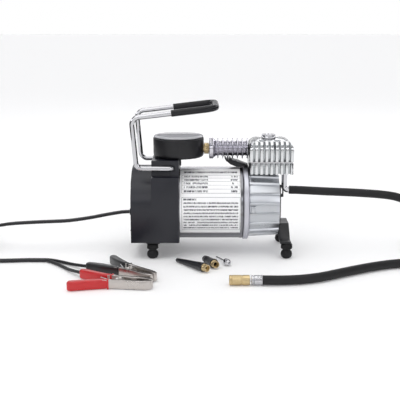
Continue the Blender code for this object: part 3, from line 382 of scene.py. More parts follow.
def spun(profile, centre=(0, 0, 0), axis="X", steps=48, bm=None, turn=None, slot=0):
    """A turned shape from (radius, distance along the axis) points round its section."""
    bm = bm or bmesh.new()
    old = set(bm.verts)
    line = [bm.verts.new((radius, 0, along)) for radius, along in profile]
    pairs = [(a, b) for a, b in zip(line, line[1:] + line[:1]) if max(a.co.x, b.co.x) > 1e-6]
    edges = [bm.edges.new(pair) for pair in pairs]
    bmesh.ops.spin(bm, geom=line + edges, axis=(0, 0, 1), angle=math.tau, steps=steps, use_merge=True)
    fresh(bm, old, Matrix.Translation(centre) @ (turn or FACING[axis]), slot)
    return bm


def block(low, high, bm=None, turn=None, slot=0, edge=0.0, segments=2):
    bm = bm or bmesh.new()
    old = set(bm.verts)
    low, high = Vector(low), Vector(high)
    made = bmesh.ops.create_cube(bm, size=1)["verts"]
    fit = Matrix.Translation((low + high) / 2) @ Matrix.Diagonal((*(high - low), 1))
    bmesh.ops.transform(bm, matrix=fit, verts=made)
    if edge:
        bevelled(bm, list({e for v in made for e in v.link_edges}), edge, segments)
    fresh(bm, old, turn, slot)
    return bm


def bevelled(bm, edges, width, segments=2):
    bmesh.ops.bevel(
        bm, geom=edges, offset=width, offset_type="OFFSET", segments=segments, profile=0.5, affect="EDGES",
        material=-1, clamp_overlap=True,
    )


def slab(outline, low, high, axis="Z", bm=None, turn=None, edge=0.0, slot=0, segments=2):
    """An outline pushed along an axis; (x, y) points go along Z, (y, z) along X and (x, z) along Y."""
    bm = bm or bmesh.new()
    old = set(bm.verts)
    put = {
        "X": lambda p: (low, p[0], p[1]),
        "Y": lambda p: (p[0], low, p[1]),
        "Z": lambda p: (p[0], p[1], low),
    }[axis]
    step = (high - low) * Vector((axis == "X", axis == "Y", axis == "Z"))
    face = bm.faces.new([bm.verts.new(put(p)) for p in outline])
    top = bmesh.ops.extrude_face_region(bm, geom=[face])["geom"]
    bmesh.ops.translate(bm, verts=[v for v in top if isinstance(v, bmesh.types.BMVert)], vec=step)
    if edge:
        made = [v for v in bm.verts if v not in old]
        bmesh.ops.recalc_face_normals(bm, faces=list({f for v in made for f in v.link_faces}))
        edges = {e for v in made for e in v.link_edges}
        edges = [e for e in edges if e.is_manifold and e.calc_face_angle(0) > 0.6]
        bevelled(bm, edges, edge, segments)
    fresh(bm, old, turn, slot)
    return bm


def arc(centre, radius, start, end, steps):
    """Points on an arc, the angles in degrees from the outline's first axis."""
    angles = [math.radians(start + (end - start) * i / steps) for i in range(steps + 1)]
    return [(centre[0] + radius * math.cos(a), centre[1] + radius * math.sin(a)) for a in angles]


def smooth_line(knots, spacing):
    """Evenly spaced points on a smooth curve through the given ones."""
    knots = [Vector(k) for k in knots]
    ends = [2 * knots[0] - knots[1]] + knots + [2 * knots[-1] - knots[-2]]
    fine = []
    for a, b, c, d in zip(ends, ends[1:], ends[2:], ends[3:]):
        for i in range(12):
            t = i / 12
            cubic = (3 * b - a - 3 * c + d) * t**3
            fine.append(0.5 * (2 * b + (c - a) * t + (2 * a - 5 * b + 4 * c - d) * t * t + cubic))
    fine.append(knots[-1])
    line, gone = [fine[0]], 0.0
    for before, after in zip(fine, fine[1:]):
        gone += (after - before).length
        if gone >= spacing:
            line.append(after)
            gone = 0.0
    if gone > spacing / 2:
        line.append(fine[-1])
    else:
        line[-1] = fine[-1]
    return line


def line_length(line):
    return sum((b - a).length for a, b in zip(line, line[1:]))


def rounded(corners, radii, steps=8):
    """A polyline with each inner corner replaced by an arc."""
    corners = [Vector(c) for c in corners]
    path = [corners[0]]
    for before, corner, after, radius in zip(corners, corners[1:], corners[2:], radii):
        a, b = (before - corner).normalized(), (after - corner).normalized()
        half = a.angle(b) / 2
        centre = corner + (a + b).normalized() * radius / math.sin(half)
        first = corner + a * radius / math.tan(half) - centre
        last = corner + b * radius / math.tan(half) - centre
        turn = first.angle(last)
        for i in range(steps + 1):
            t = i / steps
            blend = first * math.sin((1 - t) * turn) + last * math.sin(t * turn)
            path.append(centre + blend / math.sin(turn))
    return path + [corners[-1]]


def swept(line, section, bm=None, slot=0, level=False):
    """A section of (across, up) points carried along a line, with closed ends. `level` stops it rolling."""
    bm = bm or bmesh.new()
    old = set(bm.verts)
    rings, last = [], None
    for index, at in enumerate(line):
        forward = line[min(index + 1, len(line) - 1)] - line[max(index - 1, 0)]
        forward.normalize()
        if last is None or level:
            guide = Vector((0, 0, 1)) if abs(forward.z) < 0.9 else Vector((0, 1, 0))
            across = forward.cross(guide).normalized()
        else:
            across = (last - forward * last.dot(forward)).normalized()
        last = across
        up = across.cross(forward)
        rings.append([bm.verts.new(at + across * u + up * v) for u, v in section])
    count = len(section)
    edge_rings = [[bm.edges.new((ring[k - 1], ring[k])) for k in range(count)] for ring in rings]
    for one, two in zip(edge_rings, edge_rings[1:]):
        bmesh.ops.bridge_loops(bm, edges=one + two)
    bm.faces.new(rings[0])
    bm.faces.new(rings[-1])
    fresh(bm, old, None, slot)
    return bm


def circle(radius, sides=16):
    angles = [math.tau * k / sides for k in range(sides)]
    return [(radius * math.cos(a), radius * math.sin(a)) for a in angles]


# Cords

HOSE_OUT = (
    (88.8, 0, 61.6), (100, 0, 61.3), (125, 0, 60), (161, 0, 58.3), (190, 1, 55.5), (208, 4, 50), (226, 12, 41),
    (243, 23, 30), (258, 32, 19.5), (272, 36, 12.9),
)
HOSE_BACK = (
    (236.3, -60.3, 4.3), (215, -60.8, 4.3), (188, -62.5, 4.3), (168, -69, 4.3), (147, -79.5, 4.3),
    (126, -92, 4.3), (106, -104, 4.3), (87, -110.6, 4.3), (70, -112.8, 4.4), (54.6, -113, 4.6),
)
CORD_OUT = (
    (-72.2, 14, 36), (-80, 13.6, 35.6), (-94, 12, 33.6), (-112, 8, 31), (-134.5, 3, 29), (-161.6, 0, 28.5),
    (-190, 1, 26.5), (-208, 7, 22.5), (-226, 18, 17.5), (-243, 29, 14), (-262, 34, 13.2),
)
CORD_BACK = (
    (-237.5, -43.8, 1.7), (-215, -45.4, 1.7), (-190, -45.6, 1.7), (-165, -43.4, 1.7), (-147.4, -43.6, 1.7),
)
LEAD_BLACK = (
    (-146.8, -42.1, 1.7), (-140, -44.6, 1.7), (-133.5, -48.4, 1.7), (-121, -57.6, 2), (-112, -66.2, 3.4),
    (-103.9, -72.1, 4.3),
)
LEAD_RED = (
    (-146.8, -45.1, 1.7), (-140, -50.8, 1.7), (-131, -61, 1.7), (-121.6, -73, 2), (-114, -83.6, 3.4),
    (-108.6, -90, 4.3),
)


CLAMPS = {"red": ((-69, -117.5), -10, 17), "black": ((-62, -87.5), -40, 15)}


def clamp_matrix(pivot, angle):
    return Matrix.Translation((*pivot, 0)) @ Matrix.Rotation(math.radians(angle), 4, "Z")


def wound(centre, start, stops, per_turn=20):
    """Points round a coil. `stops` are (turns so far, radius, height); positive turns run anticlockwise."""
    line = []
    for (from_turn, from_radius, from_height), (to_turn, to_radius, to_height) in zip(stops, stops[1:]):
        count = max(2, round(abs(to_turn - from_turn) * per_turn))
        for i in range(count):
            t = i / count
            s = t * t * (3 - 2 * t)
            angle = math.radians(start) + math.tau * (from_turn + (to_turn - from_turn) * t)
            radius = from_radius + (to_radius - from_radius) * s
            height = from_height + (to_height - from_height) * s
            x, y = centre[0] + radius * math.cos(angle), centre[1] + radius * math.sin(angle)
            line.append(Vector((x, y, height)))
    return line


def cord_piece(name, line, section, look, stands_for):
    """One flexible line: its tube on the line; its length is worked out and not kept."""
    made = piece(name, swept(line, section, level=True), [look], "base", stands_for, sharp=80)
    path = [INTO_FRAME @ point for point in line]
    line_length(path)
    return made


def air_hose():
    """The hose leaves the elbow, sinks to the floor, lies in one and a half turns and comes back to the chuck."""
    down = []
    for i in range(11):
        t = i / 10
        roll = math.radians(65.6 * (1 - t * t * (3 - 2 * t)))
        reach = 9.44 - 0.54 * t
        down.append((-0.4795 * t, 50.3 - reach * math.cos(roll), 4.3 + reach * math.sin(roll)))
    turns = wound((266, -10), 82.6, down, 24)
    flat = [(-0.4795, 41.4, 4.3), (-1.0, 50.3, 4.3), (-1.4795, 50.3, 4.3)]
    turns += wound((266, -10), 82.6, flat, 24)
    line = smooth_line(HOSE_OUT, 7)[:-1] + turns + smooth_line(((266, -60.3, 4.3), *HOSE_BACK), 9)
    return cord_piece(
        "air_hose", line, circle(4.15, 20), "hose_rubber", ("hose_out", "hose_coil", "hose_back"),
    )


def power_cord():
    """Flat twin cord, wound in three layers of four tracks, then lying flat to where its conductors part."""
    inner, outer, low, middle, high = 24.4, 42.4, 1.7, 4.9, 8.1
    stops = [
        (0.0, 34.06, 13.2), (0.35, 30.5, 11.6), (0.7, inner, 11.0), (1.1, inner, high), (4.1, outer, high),
        (4.6, outer, middle), (7.6, inner, middle), (8.1, inner, low), (11.3, 43.8, low), (12.491, 43.8, low),
    ]
    start = math.degrees(math.atan2(34, -2))
    turns = wound((-260, 0), start, stops, 20)
    line = smooth_line(CORD_OUT, 7)[:-1] + turns + smooth_line(((-260, -43.8, 1.7), *CORD_BACK), 7)
    half = [(0.25 + 1.25 + 1.2 * math.cos(a), 1.5 * math.sin(a)) for a in (-2.3, -1.4, -0.6, 0, 0.6, 1.4, 2.3)]
    section = half + [(-u, -v) for u, v in half]
    return cord_piece(
        "power_cord", line, section, "cord_vinyl", ("cord_out", "cord_coil", "cord_back"),
    )


def clamp_lead(color, knots, side, look):
    """A lead from where the cord parts, on through its clamp's sleeve to the crimp."""
    pivot, angle, spread = CLAMPS[color]
    turn = clamp_matrix(pivot, angle)
    inside = [turn @ Vector((u, side * (spread * k), 4.3)) for u, k in ((-36, 0.9), (-28, 0.75), (-20, 0.58))]
    return cord_piece(
        f"{color}_lead", smooth_line([*knots, *inside], 3), circle(1.5, 12), look, (f"lead_{color}",),
    )


# Finishes

def finishes():
    grained_plastic("cover_plastic", (0.009, 0.0095, 0.015), 0.3, 0.15)
    grained_plastic("gauge_plastic", (0.003, 0.003, 0.0045), 0.38, 0.1)
    grained_plastic("nozzle_plastic", (0.008, 0.008, 0.011), 0.34, 0.1)
    grained_plastic("switch_plastic", (0.016, 0.016, 0.018), 0.3, 0.1)
    grained_plastic("phenolic_board", (0.19, 0.09, 0.035), 0.5)
    grained_plastic("seal_plastic", (0.75, 0.74, 0.7), 0.4)
    grained_plastic("stand_paint", (0.008, 0.008, 0.01), 0.3, 0.12)
    metal("can_steel", (0.28, 0.28, 0.3), 0.24, 0.06, 0.03, 500)
    metal("plate_cast", (0.68, 0.68, 0.74), 0.42, 0.1, 0.25, 700)
    metal("rib_cast", (0.6, 0.62, 0.65), 0.3, 0.12, 0.35, 650)
    finned_cast_with_painted_shade()
    metal("pipe_cast", (0.66, 0.65, 0.7), 0.24, 0.12, 0.2, 600)
    metal("zinc_steel", (0.62, 0.62, 0.63), 0.3, 0.12, 0.1, 700)
    metal("clamp_steel", (0.6, 0.56, 0.53), 0.3, 0.16, 0.1, 500)
    metal("chrome", (0.62, 0.62, 0.64), 0.05, 0.05, 0.0, 300)
    metal("brass", (0.62, 0.48, 0.27), 0.27, 0.12, 0.08, 600, (1, 6, 6))
    # slot_shade is a dark finish used as painted shade in the clamp channels.
    metal("slot_shade", (0.12, 0.11, 0.1), 0.5, 0.1)
    knurled()
    metal("copper", (0.8, 0.42, 0.28), 0.3)
    metal("ferrite", (0.06, 0.06, 0.065), 0.8)
    metal("laminations", (0.4, 0.4, 0.42), 0.5, 0.1, 0.5, 400, (8, 0.2, 0.2))
    rubber_skin("hose_rubber", (0.008, 0.008, 0.009), 0.5, 900)
    rubber_skin("cord_vinyl", (0.016, 0.016, 0.018), 0.4, 500)
    rubber_skin("foot_rubber", (0.002, 0.002, 0.003), 0.5)
    rubber_skin("grip_vinyl", (0.006, 0.006, 0.008), 0.24, 300)
    dipped_vinyl("red_vinyl", (0.56, 0.012, 0.016), (0.48, 0.008, 0.01))
    dipped_vinyl("black_vinyl", (0.014, 0.014, 0.016), (0.009, 0.009, 0.01))
    glass = Finish("lens_plastic", Base_Color=(0.62, 0.62, 0.65), Alpha=0.72, IOR=1.49)
    haze = glass.tree.noise(glass.where, 80, 2)
    glass.set(Roughness=0.04 + 0.05 * haze)
    gauge_dial_finish()
    label_finish()


def finned_cast_with_painted_shade():
    """Cast aluminium with painted shade between the fins: the gap walls are painted near black and the gap floors
    dark grey.
    """
    finish = metal("head_cast_painted_fin_shade", (0.74, 0.75, 0.76), 0.22, 0.14, 0.16, 500)
    tree = finish.tree
    at = tree.add("ShaderNodeSeparateXYZ", Vector=finish.where)
    way = tree.add("ShaderNodeSeparateXYZ", Vector=tree.add("ShaderNodeNewGeometry")["Normal"])
    # Painted shade: a mask for faces set back behind the head's front face, inside the fin gaps.
    inside = at["Y"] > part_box("cylinder_head")[0].y + 0.0011
    wall = (way["X"].absolute() > 0.8) * inside
    floor = (way["Y"] < -0.8) * inside
    drift = tree.noise(finish.where, 45, 3)
    cast = tree.mix(drift, (0.66, 0.67, 0.68), (0.76, 0.77, 0.78))
    # Painted shade: dark grey on the gap floors here, near black on the gap walls below.
    cast = tree.mix(floor, cast, (0.4, 0.42, 0.43))
    finish.set(Base_Color=tree.mix(wall, cast, (0.07, 0.08, 0.085)))


def knurled():
    """Turned brass with a fine straight knurl round its middle."""
    finish = Finish("knurled_brass", Metallic=1.0)
    tree = finish.tree
    at = tree.add("ShaderNodeSeparateXYZ", Vector=finish.where)
    low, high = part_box("chuck_nut")
    middle = (low + high) / 2
    angle = tree.maths("ARCTAN2", at["Y"] - middle.y, at["Z"] - middle.z)
    ridge = (angle * (40 / math.tau)).fraction().maths("PINGPONG", 0.5)
    band = (at["X"] > low.x + 0.0027) * (at["X"] < low.x + 0.0104)
    fine = tree.noise(finish.where, 700, 3)
    finish.set(
        Base_Color=tree.mix(fine, (0.55, 0.42, 0.22), (0.68, 0.54, 0.31)),
        Roughness=0.24 + 0.14 * fine,
        Normal=tree.bump(ridge * band + 0.04 * fine, 0.6, 0.0004),
    )


def gauge_dial_finish():
    """A white printed face; its UV map is in millimetres about the spindle."""
    finish = Finish("dial_face", Roughness=0.5)
    tree = finish.tree
    at = tree.add("ShaderNodeSeparateXYZ", Vector=finish.uv)
    x, y = at["X"], at["Y"]
    reach = (x * x + y * y).maths("SQRT")
    angle = tree.maths("ARCTAN2", x, y) / math.tau
    sweep = (angle.absolute() < 0.376) * 1.0
    tick = ((angle * 40 + 0.5).fraction() - 0.5).absolute() < 0.06
    long_tick = ((angle * 8 + 0.5).fraction() - 0.5).absolute() < 0.02
    small = tick * (reach > 17.3) * (reach < 19.2)
    big = long_tick * (reach > 15.4) * (reach < 19.2)
    ring = ((reach - 19.4).absolute() < 0.16) * 1.0
    inner_ring = ((reach - 12.6).absolute() < 0.1) * 1.0
    ink = (small + big + ring + inner_ring).maths("MINIMUM", 1.0) * sweep
    fibre = tree.noise(finish.where, 400, 3)
    paper = tree.mix(fibre, (0.84, 0.84, 0.82), (0.9, 0.9, 0.89))
    finish.set(Base_Color=tree.mix(ink, paper, (0.03, 0.03, 0.035)), Roughness=0.45 + 0.1 * fibre)


def label_finish():
    """A silver printed sheet with a title bar, a ruled table and lines of greeked print.

    Its UV map is in millimetres: u runs along the motor and v up round it.
    """
    finish = Finish("label_print")
    tree = finish.tree
    at = tree.add("ShaderNodeSeparateXYZ", Vector=finish.uv)
    u, v = at["X"], at["Y"]

    def within(value, low, high):
        return (value > low) * (value < high)

    def ruled_box(left, right, bottom, top, line):
        outside = within(u, left, right) * within(v, bottom, top)
        inside = within(u, left + line, right - line) * within(v, bottom + line, top - line)
        return outside - inside

    def print_line(pitch, start, low, high, left, right, size, weight):
        """Rows of word-like bars: a noise along each row leaves gaps between them."""
        row = ((v - start) / pitch).floor()
        in_row = ((v - start) / pitch).fraction()
        across = tree.add("ShaderNodeCombineXYZ", X=u * size, Y=row * 7.31, Z=0.0)["Vector"]
        words = tree.noise(across, 1.0, 1.0) > weight
        letters = tree.add("ShaderNodeCombineXYZ", X=u * 3.1, Y=row * 3.7 + in_row * 1.2, Z=4.0)["Vector"]
        strokes = tree.noise(letters, 1.0, 2.0) > 0.47
        return words * strokes * within(in_row, 0.24, 0.76) * within(u, left, right) * within(v, low, high)

    table_low, table_high = 43.5, 64.4
    box_low, box_high = 4.9, 39.8
    left, right = 1.8, 58.0
    pitch = (table_high - table_low) / 5
    lines = ruled_box(left, right, table_low, table_high, 0.3)
    lines = lines + ruled_box(left, right, box_low, box_high, 0.3)
    rows = within(((v - table_low) / pitch).fraction(), 0.0, 0.06) * within(u, left, right)
    lines = lines + rows * within(v, table_low, table_high)
    title = print_line(5.6, 66.2, 66.2, 71.8, 4.0, 55.5, 0.35, 0.3)
    names = print_line(pitch, table_low, table_low, table_high, 3.8, 27.0, 0.3, 0.36)
    values = print_line(pitch, table_low, table_low, table_high, 49.0, 56.0, 0.3, 0.4)
    heading = print_line(3.6, 35.8, 35.8, 39.4, 3.4, 16.0, 0.3, 0.3)
    text = print_line(3.3, 6.0, 6.0, 35.7, 3.4, 56.0, 0.22, 0.34)
    ink = (lines + title + names + values + heading + text).maths("MINIMUM", 1.0)
    sheen = tree.noise(finish.where, 30, 3)
    sheet = tree.mix(sheen, (0.95, 0.95, 0.96), (1.0, 1.0, 1.0))
    finish.set(
        Base_Color=tree.mix(ink, sheet, (0.045, 0.045, 0.06)),
        Roughness=0.34 + 0.12 * sheen + 0.2 * ink,
        Metallic=0.12 - 0.12 * ink,
    )


CAD_LOOKS = {
    "cover_plastic": ("rear_cover", "switch_bezel"),
    "phenolic_board": ("brush_plate",),
    "seal_plastic": ("piston_cup",),
    "can_steel": ("motor_can",),
    "plate_cast": ("motor_front_plate",),
    "rib_cast": ("crankcase", "connecting_rod"),
    "head_cast_painted_fin_shade": ("cylinder_barrel", "cylinder_head"),
    "pipe_cast": ("outlet_pipe",),
    "zinc_steel": (
        "armature_shaft", "front_bearing", "crank_disc", "big_end_bearing", "valve_plate", "head_screw_1",
        "head_screw_2", "head_screw_3", "head_screw_4",
    ),
    "chrome": ("valve_cap", "hose_elbow", "handle_wire", "hose_ferrule", "ball_needle"),
    "brass": ("gauge_fitting", "bourdon_tube", "chuck_nut"),
    "copper": ("commutator",),
    "ferrite": ("magnet_upper", "magnet_lower"),
    "laminations": ("armature_core",),
    "gauge_plastic": ("gauge_case", "gauge_pointer"),
    "dial_face": ("gauge_dial",),
    "lens_plastic": ("gauge_lens",),
    "switch_plastic": ("rocker_switch",),
    "foot_rubber": ("cord_gland", "foot_rear_near", "foot_rear_far", "foot_front_near", "foot_front_far"),
    "stand_paint": ("rear_stand", "front_stand"),
    "grip_vinyl": ("handle_grip", "pipe_saddle"),
    "red_vinyl": ("red_clamp_near", "red_clamp_far"),
    "black_vinyl": ("black_clamp_near", "black_clamp_far"),
    "nozzle_plastic": ("long_nozzle", "short_nozzle"),
}


def dress_cad():
    """Gives the CAD nodes that stay in view their finishes."""
    for look, names in CAD_LOOKS.items():
        for name in names:
            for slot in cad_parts[name].material_slots:
                slot.material = Finish.made[look].material


# Castings and mouldings whose CAD shape is right, with their edges eased

def softened(name, node_name, look, body, width, sharp=30):
    """A copy of a CAD node, merged into clean faces, with its sharp edges rounded."""
    bm = bmesh.new()
    bm.from_mesh(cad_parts[node_name].data)
    bmesh.ops.transform(bm, matrix=INTO_FRAME.inverted(), verts=bm.verts)
    bmesh.ops.remove_doubles(bm, verts=bm.verts, dist=0.004)
    bmesh.ops.dissolve_degenerate(bm, edges=bm.edges, dist=0.002)
    bmesh.ops.dissolve_limit(bm, angle_limit=math.radians(1.5), verts=bm.verts, edges=bm.edges)
    edges = [e for e in bm.edges if e.is_manifold and e.calc_face_angle(0) > math.radians(sharp)]
    bevelled(bm, edges, width, 2)
    return piece(name, bm, [look], body, (node_name,), sharp=38)


def castings():
    softened("finned_head", "cylinder_head", "head_cast_painted_fin_shade", "base", 0.35)
    softened("finned_barrel", "cylinder_barrel", "head_cast_painted_fin_shade", "base", 0.35)
    softened("ribbed_crankcase", "crankcase", "rib_cast", "base", 0.3)
    softened("motor_hood", "rear_cover", "cover_plastic", "base", 0.7, 40)
    softened("crankcase_stand", "front_stand", "stand_paint", "base", 0.35)
    softened("hood_stand", "rear_stand", "stand_paint", "base", 0.35)
    softened("switch_frame", "switch_bezel", "switch_plastic", "base", 0.3)
    softened("wedge", "pipe_saddle", "grip_vinyl", "base", 0.3)


def crankcase_boss():
    """The small square boss low on the crankcase's front."""
    low = span("crankcase")[0]
    turn = Matrix.Translation((0, 0, AXIS_Z)) @ Matrix.Rotation(math.radians(-3), 4, "X")
    bm = block((low.x + 1.2, -35.4, -5.2), (low.x + 5.4, -31.5, 1.4), turn=turn, edge=0.4)
    piece("crankcase_boss", bm, ["rib_cast"], "base")


def pipe():
    """The cooling pipe: thin rounded discs on a root that shows between them."""
    low, high = span("outlet_pipe")
    bore, root, rim = 4.2, 7.0, 10.3
    profile = [(bore, low.x), (rim - 0.5, low.x), (rim, low.x + 0.5), (rim, low.x + 3.9)]
    profile += [(rim - 0.5, low.x + 4.4)]
    for disc in range(7):
        x = high.x - 1.4 - 4.8 * (6 - disc)
        profile += [(root + 0.4, x - 1.5), (root + 0.9, x - 0.8), (rim - 0.3, x - 0.45), (rim, x - 0.15)]
        profile += [(rim, x + 0.15), (rim - 0.3, x + 0.45), (root + 0.9, x + 0.8)]
        if disc < 6:
            profile += [(root + 0.4, x + 1.5), (root, x + 2.4)]
    profile += [(root, high.x), (bore, high.x)]
    bm = spun(profile, (0, 0, PIPE_Z), "X", 48)
    piece("cooling_pipe", bm, ["pipe_cast"], "base", ("outlet_pipe",))


def motor_trim():
    """The printed sheet round the motor, the rolled bead at its front end and the face plate's stepped rim."""
    radius, low_x, high_x = 35.62, -19.4, 40.9
    low_angle, high_angle, steps = -44, 79, 60
    bm = bmesh.new()
    bm.loops.layers.uv.new("UVMap")
    line = [
        bm.verts.new((low_x, -radius * math.cos(math.radians(a)), AXIS_Z + radius * math.sin(math.radians(a))))
        for a in (low_angle + (high_angle - low_angle) * i / steps for i in range(steps + 1))
    ]
    edges = [bm.edges.new(pair) for pair in zip(line, line[1:])]
    made = bmesh.ops.extrude_edge_only(bm, edges=edges)["geom"]
    across = [v for v in made if isinstance(v, bmesh.types.BMVert)]
    bmesh.ops.translate(bm, verts=across, vec=(high_x - low_x, 0, 0))
    uv = bm.loops.layers.uv.active
    for face in bm.faces:
        for loop in face.loops:
            x, y, z = loop.vert.co
            angle = math.degrees(math.atan2(z - AXIS_Z, -y))
            loop[uv].uv = (x - low_x, math.radians(angle - low_angle) * radius)
    for face in bm.faces:
        face.normal_update()
    sheet = piece("rating_label", bm, ["label_print"], "base")
    if sheet.data.polygons[0].normal.y > 0:
        sheet.data.flip_normals()
    bead = [(35.5, 38.9), (35.95, 39.4), (36.0, 40.4), (35.95, 41.3), (35.5, 41.7), (35, 40.3)]
    bm = spun(bead, (0, 0, AXIS_Z))
    piece("can_bead", bm, ["can_steel"], "base")
    low, high = span("motor_front_plate")
    rim = [
        (5, low.x + 0.4), (34, low.x), (35.9, low.x + 0.1), (36.8, low.x + 0.9), (36.8, high.x - 1.2),
        (36.2, high.x - 0.5), (35.4, high.x), (5, high.x),
    ]
    bm = spun(rim, (0, 0, AXIS_Z), steps=96)
    piece("face_plate", bm, ["plate_cast"], "base", ("motor_front_plate",))


# Gauge

def gauge():
    low, high = span("gauge_case")
    centre = (-21.1, 0, 0)
    top, floor, lens_low = high.z, low.z, 115.2
    wall = [
        (0, floor), (22.6, floor), (23.8, floor + 0.5), (24.5, floor + 1.4), (24.8, floor + 3), (24.9, top - 1.6),
        (24.6, top - 0.6), (24.0, top - 0.05), (23.4, top - 0.05), (23.1, top - 0.5), (23.1, 110), (0, 110),
    ]
    bm = spun(wall, centre, "Z", 96)
    piece("gauge_pot", bm, ["gauge_plastic"], "base", ("gauge_case",))
    bm = spun([(20.6, 111.3), (20.8, 112.4), (22.8, 112.8), (22.9, 111.1)], centre, "Z", 96)
    piece("dial_ring", bm, ["gauge_plastic"], "base")
    lens_top = 117.0
    lens = [
        (0, lens_low), (23.9, lens_low), (24.4, lens_low + 0.3), (24.3, lens_low + 0.9), (23.6, lens_top - 0.35),
        (21.5, lens_top - 0.1), (0, lens_top),
    ]
    bm = spun(lens, centre, "Z", 96)
    piece("gauge_window", bm, ["lens_plastic"], "base", ("gauge_lens",))
    bm = bmesh.new()
    uv = bm.loops.layers.uv.new("UVMap")
    bmesh.ops.create_circle(bm, cap_ends=True, radius=20.9, segments=96)
    for face in bm.faces:
        for loop in face.loops:
            loop[uv].uv = (loop.vert.co.x, loop.vert.co.y)
    plate = bmesh.ops.extrude_face_region(bm, geom=list(bm.faces))["geom"]
    bmesh.ops.translate(bm, verts=[v for v in plate if isinstance(v, bmesh.types.BMVert)], vec=(0, 0, 0.8))
    bmesh.ops.translate(bm, verts=bm.verts, vec=(*centre[:2], 110.4))
    piece("printed_dial", bm, ["dial_face"], "base", ("gauge_dial",))
    for index, value in enumerate(("0", "30", "60", "90", "120", "150", "180")):
        angle = math.radians(225 - 45 * index)
        dial_number(f"dial_number_{value}", value, centre, 14.0, angle)
    aim = Matrix.Translation((centre[0], centre[1], 0)) @ Matrix.Rotation(math.radians(225), 4, "Z")
    z = span("gauge_pointer")[0].z
    bm = slab([(-6, -0.9), (-5, 0.6), (0, 1.1), (15.6, 0.22), (16, 0), (15.6, -0.22), (0, -1.1), (-5, -0.6)],
              z + 0.1, z + 0.6, "Z", turn=aim)
    spun([(0, z), (1.9, z), (1.9, z + 0.9), (1.2, z + 1.3), (0, z + 1.4)], centre, "Z", 24, bm)
    piece("needle_hand", bm, ["gauge_plastic"], "pointer", ("gauge_pointer",))
    bm = bmesh.new()
    low, high = span("gauge_fitting")
    hexagon = [(5.9 * math.cos(math.radians(60 * k)), 5.9 * math.sin(math.radians(60 * k))) for k in range(6)]
    slab([(y, z + PIPE_Z) for y, z in hexagon], 4.0, 8.6, "X", bm, edge=0.35)
    spun([(0, -2), (3.8, -2), (3.8, 12), (0, 12)], (0, 0, PIPE_Z), "X", 32, bm)
    piece("brass_nut", bm, ["brass"], "base", ("gauge_fitting",))


def dial_number(name, value, centre, reach, angle):
    """A printed number on the dial, set round it to be read from the front."""
    text = bpy.data.curves.new(name, "FONT")
    text.body = value
    text.size = 3.2
    text.extrude = 0.03
    text.align_x = "CENTER"
    text.align_y = "CENTER"
    holder = bpy.data.objects.new(name, text)
    bpy.context.scene.collection.objects.link(holder)
    bpy.context.view_layer.update()
    bm = bmesh.new()
    bm.from_mesh(holder.evaluated_get(bpy.context.evaluated_depsgraph_get()).to_mesh())
    bpy.data.objects.remove(holder)
    where = (centre[0] + reach * math.cos(angle), centre[1] + reach * math.sin(angle), 111.24)
    bmesh.ops.translate(bm, verts=bm.verts, vec=where)
    piece(name, bm, ["gauge_plastic"], "base", sharp=20)


# Handle, feet, screws

HANDLE_SPREAD = 32
HANDLE_ROUTE = ((-27, 88.3), (-60.5, 88.3), (-64.5, 136.6), (15, 146))


def handle():
    side = HANDLE_SPREAD
    (x, z), heel, top, end = HANDLE_ROUTE
    corners = [(x, -21.6, z), (x, -side, z)] + [(u, -side, w) for u, w in (heel, top, end)]
    corners += [(u, side, w) for u, w in (end, top, heel)] + [(x, side, z), (x, 21.6, z)]
    line = rounded(corners, (3.2, 7, 7, 11, 11, 7, 7, 3.2), 10)
    bm = swept(line, circle(2.45, 20))
    piece("bent_wire", bm, ["chrome"], "handle", ("handle_wire",), sharp=60)
    rise = (end[1] - top[1]) / (end[0] - top[0])
    grip_x = -27
    start = (grip_x, -side, top[1] + rise * (grip_x - top[0]))
    corners = [start, (end[0], -side, end[1]), (end[0], side, end[1]), (grip_x, side, start[2])]
    line = rounded(corners, (11, 11), 12)
    line.insert(1, line[0].lerp(line[1], 0.02))
    line.insert(-1, line[-1].lerp(line[-2], 0.02))
    bm = swept(line, circle(3.2, 24))
    piece("dipped_grip", bm, ["grip_vinyl"], "handle", ("handle_grip",), sharp=50)


def feet():
    for end in ("rear", "front"):
        for side in ("near", "far"):
            low, high = span(f"foot_{end}_{side}")
            x, y = (low.x + high.x) / 2, (low.y + high.y) / 2
            radius, top = 5.6, high.z
            ball = [(0, 0), (2.6, 0), (3.6, 0.25), (4.6, 1.1), (5.3, 2.4), (5.6, 4), (5.4, 5.6), (4.7, 7)]
            neck = [(3.9, 7.8), (3.7, 8.4), (3.9, 9.1), (5.1, 9.5), (radius, 10.1), (radius, 13.3)]
            neck += [(5.1, 14.3), (4.2, top), (0, top)]
            bm = spun(ball + neck, (x, y, 0), "Z", 40)
            piece(f"rubber_foot_{end}_{side}", bm, ["foot_rubber"], "base", (f"foot_{end}_{side}",))


def screws():
    """Pan-head screws with a round dimple in the head, and the chrome valve plug."""
    for number in range(1, 5):
        low, high = span(f"head_screw_{number}")
        x, y = (low.x + high.x) / 2, (low.y + high.y) / 2
        seat, top = 106, high.z
        head = [(0, 100), (1.8, 100), (1.8, seat), (2.8, seat), (2.8, top - 1.6), (2.5, top - 0.7)]
        head += [(1.7, top - 0.1), (1.3, top - 0.05), (0.9, top - 1.0), (0, top - 1.3)]
        bm = spun(head, (x, y, 0), "Z", 32)
        piece(f"pan_screw_{number}", bm, ["zinc_steel"], "base", (f"head_screw_{number}",))
    low, high = span("valve_cap")
    x, y, seat, top = (low.x + high.x) / 2, (low.y + high.y) / 2, 113.6, high.z
    cap = [
        (0, low.z), (5, low.z), (5, seat), (6.7, seat), (7.2, seat + 0.4), (7.1, seat + 1.2), (6.5, seat + 2),
        (6.9, top - 0.9), (6.8, top - 0.3), (6.3, top), (3.2, top), (3.0, top - 0.6), (0, top - 0.6),
    ]
    bm = spun(cap, (x, y, 0), "Z", 48)
    piece("valve_plug", bm, ["chrome"], "base", ("valve_cap",))


# Battery clamps

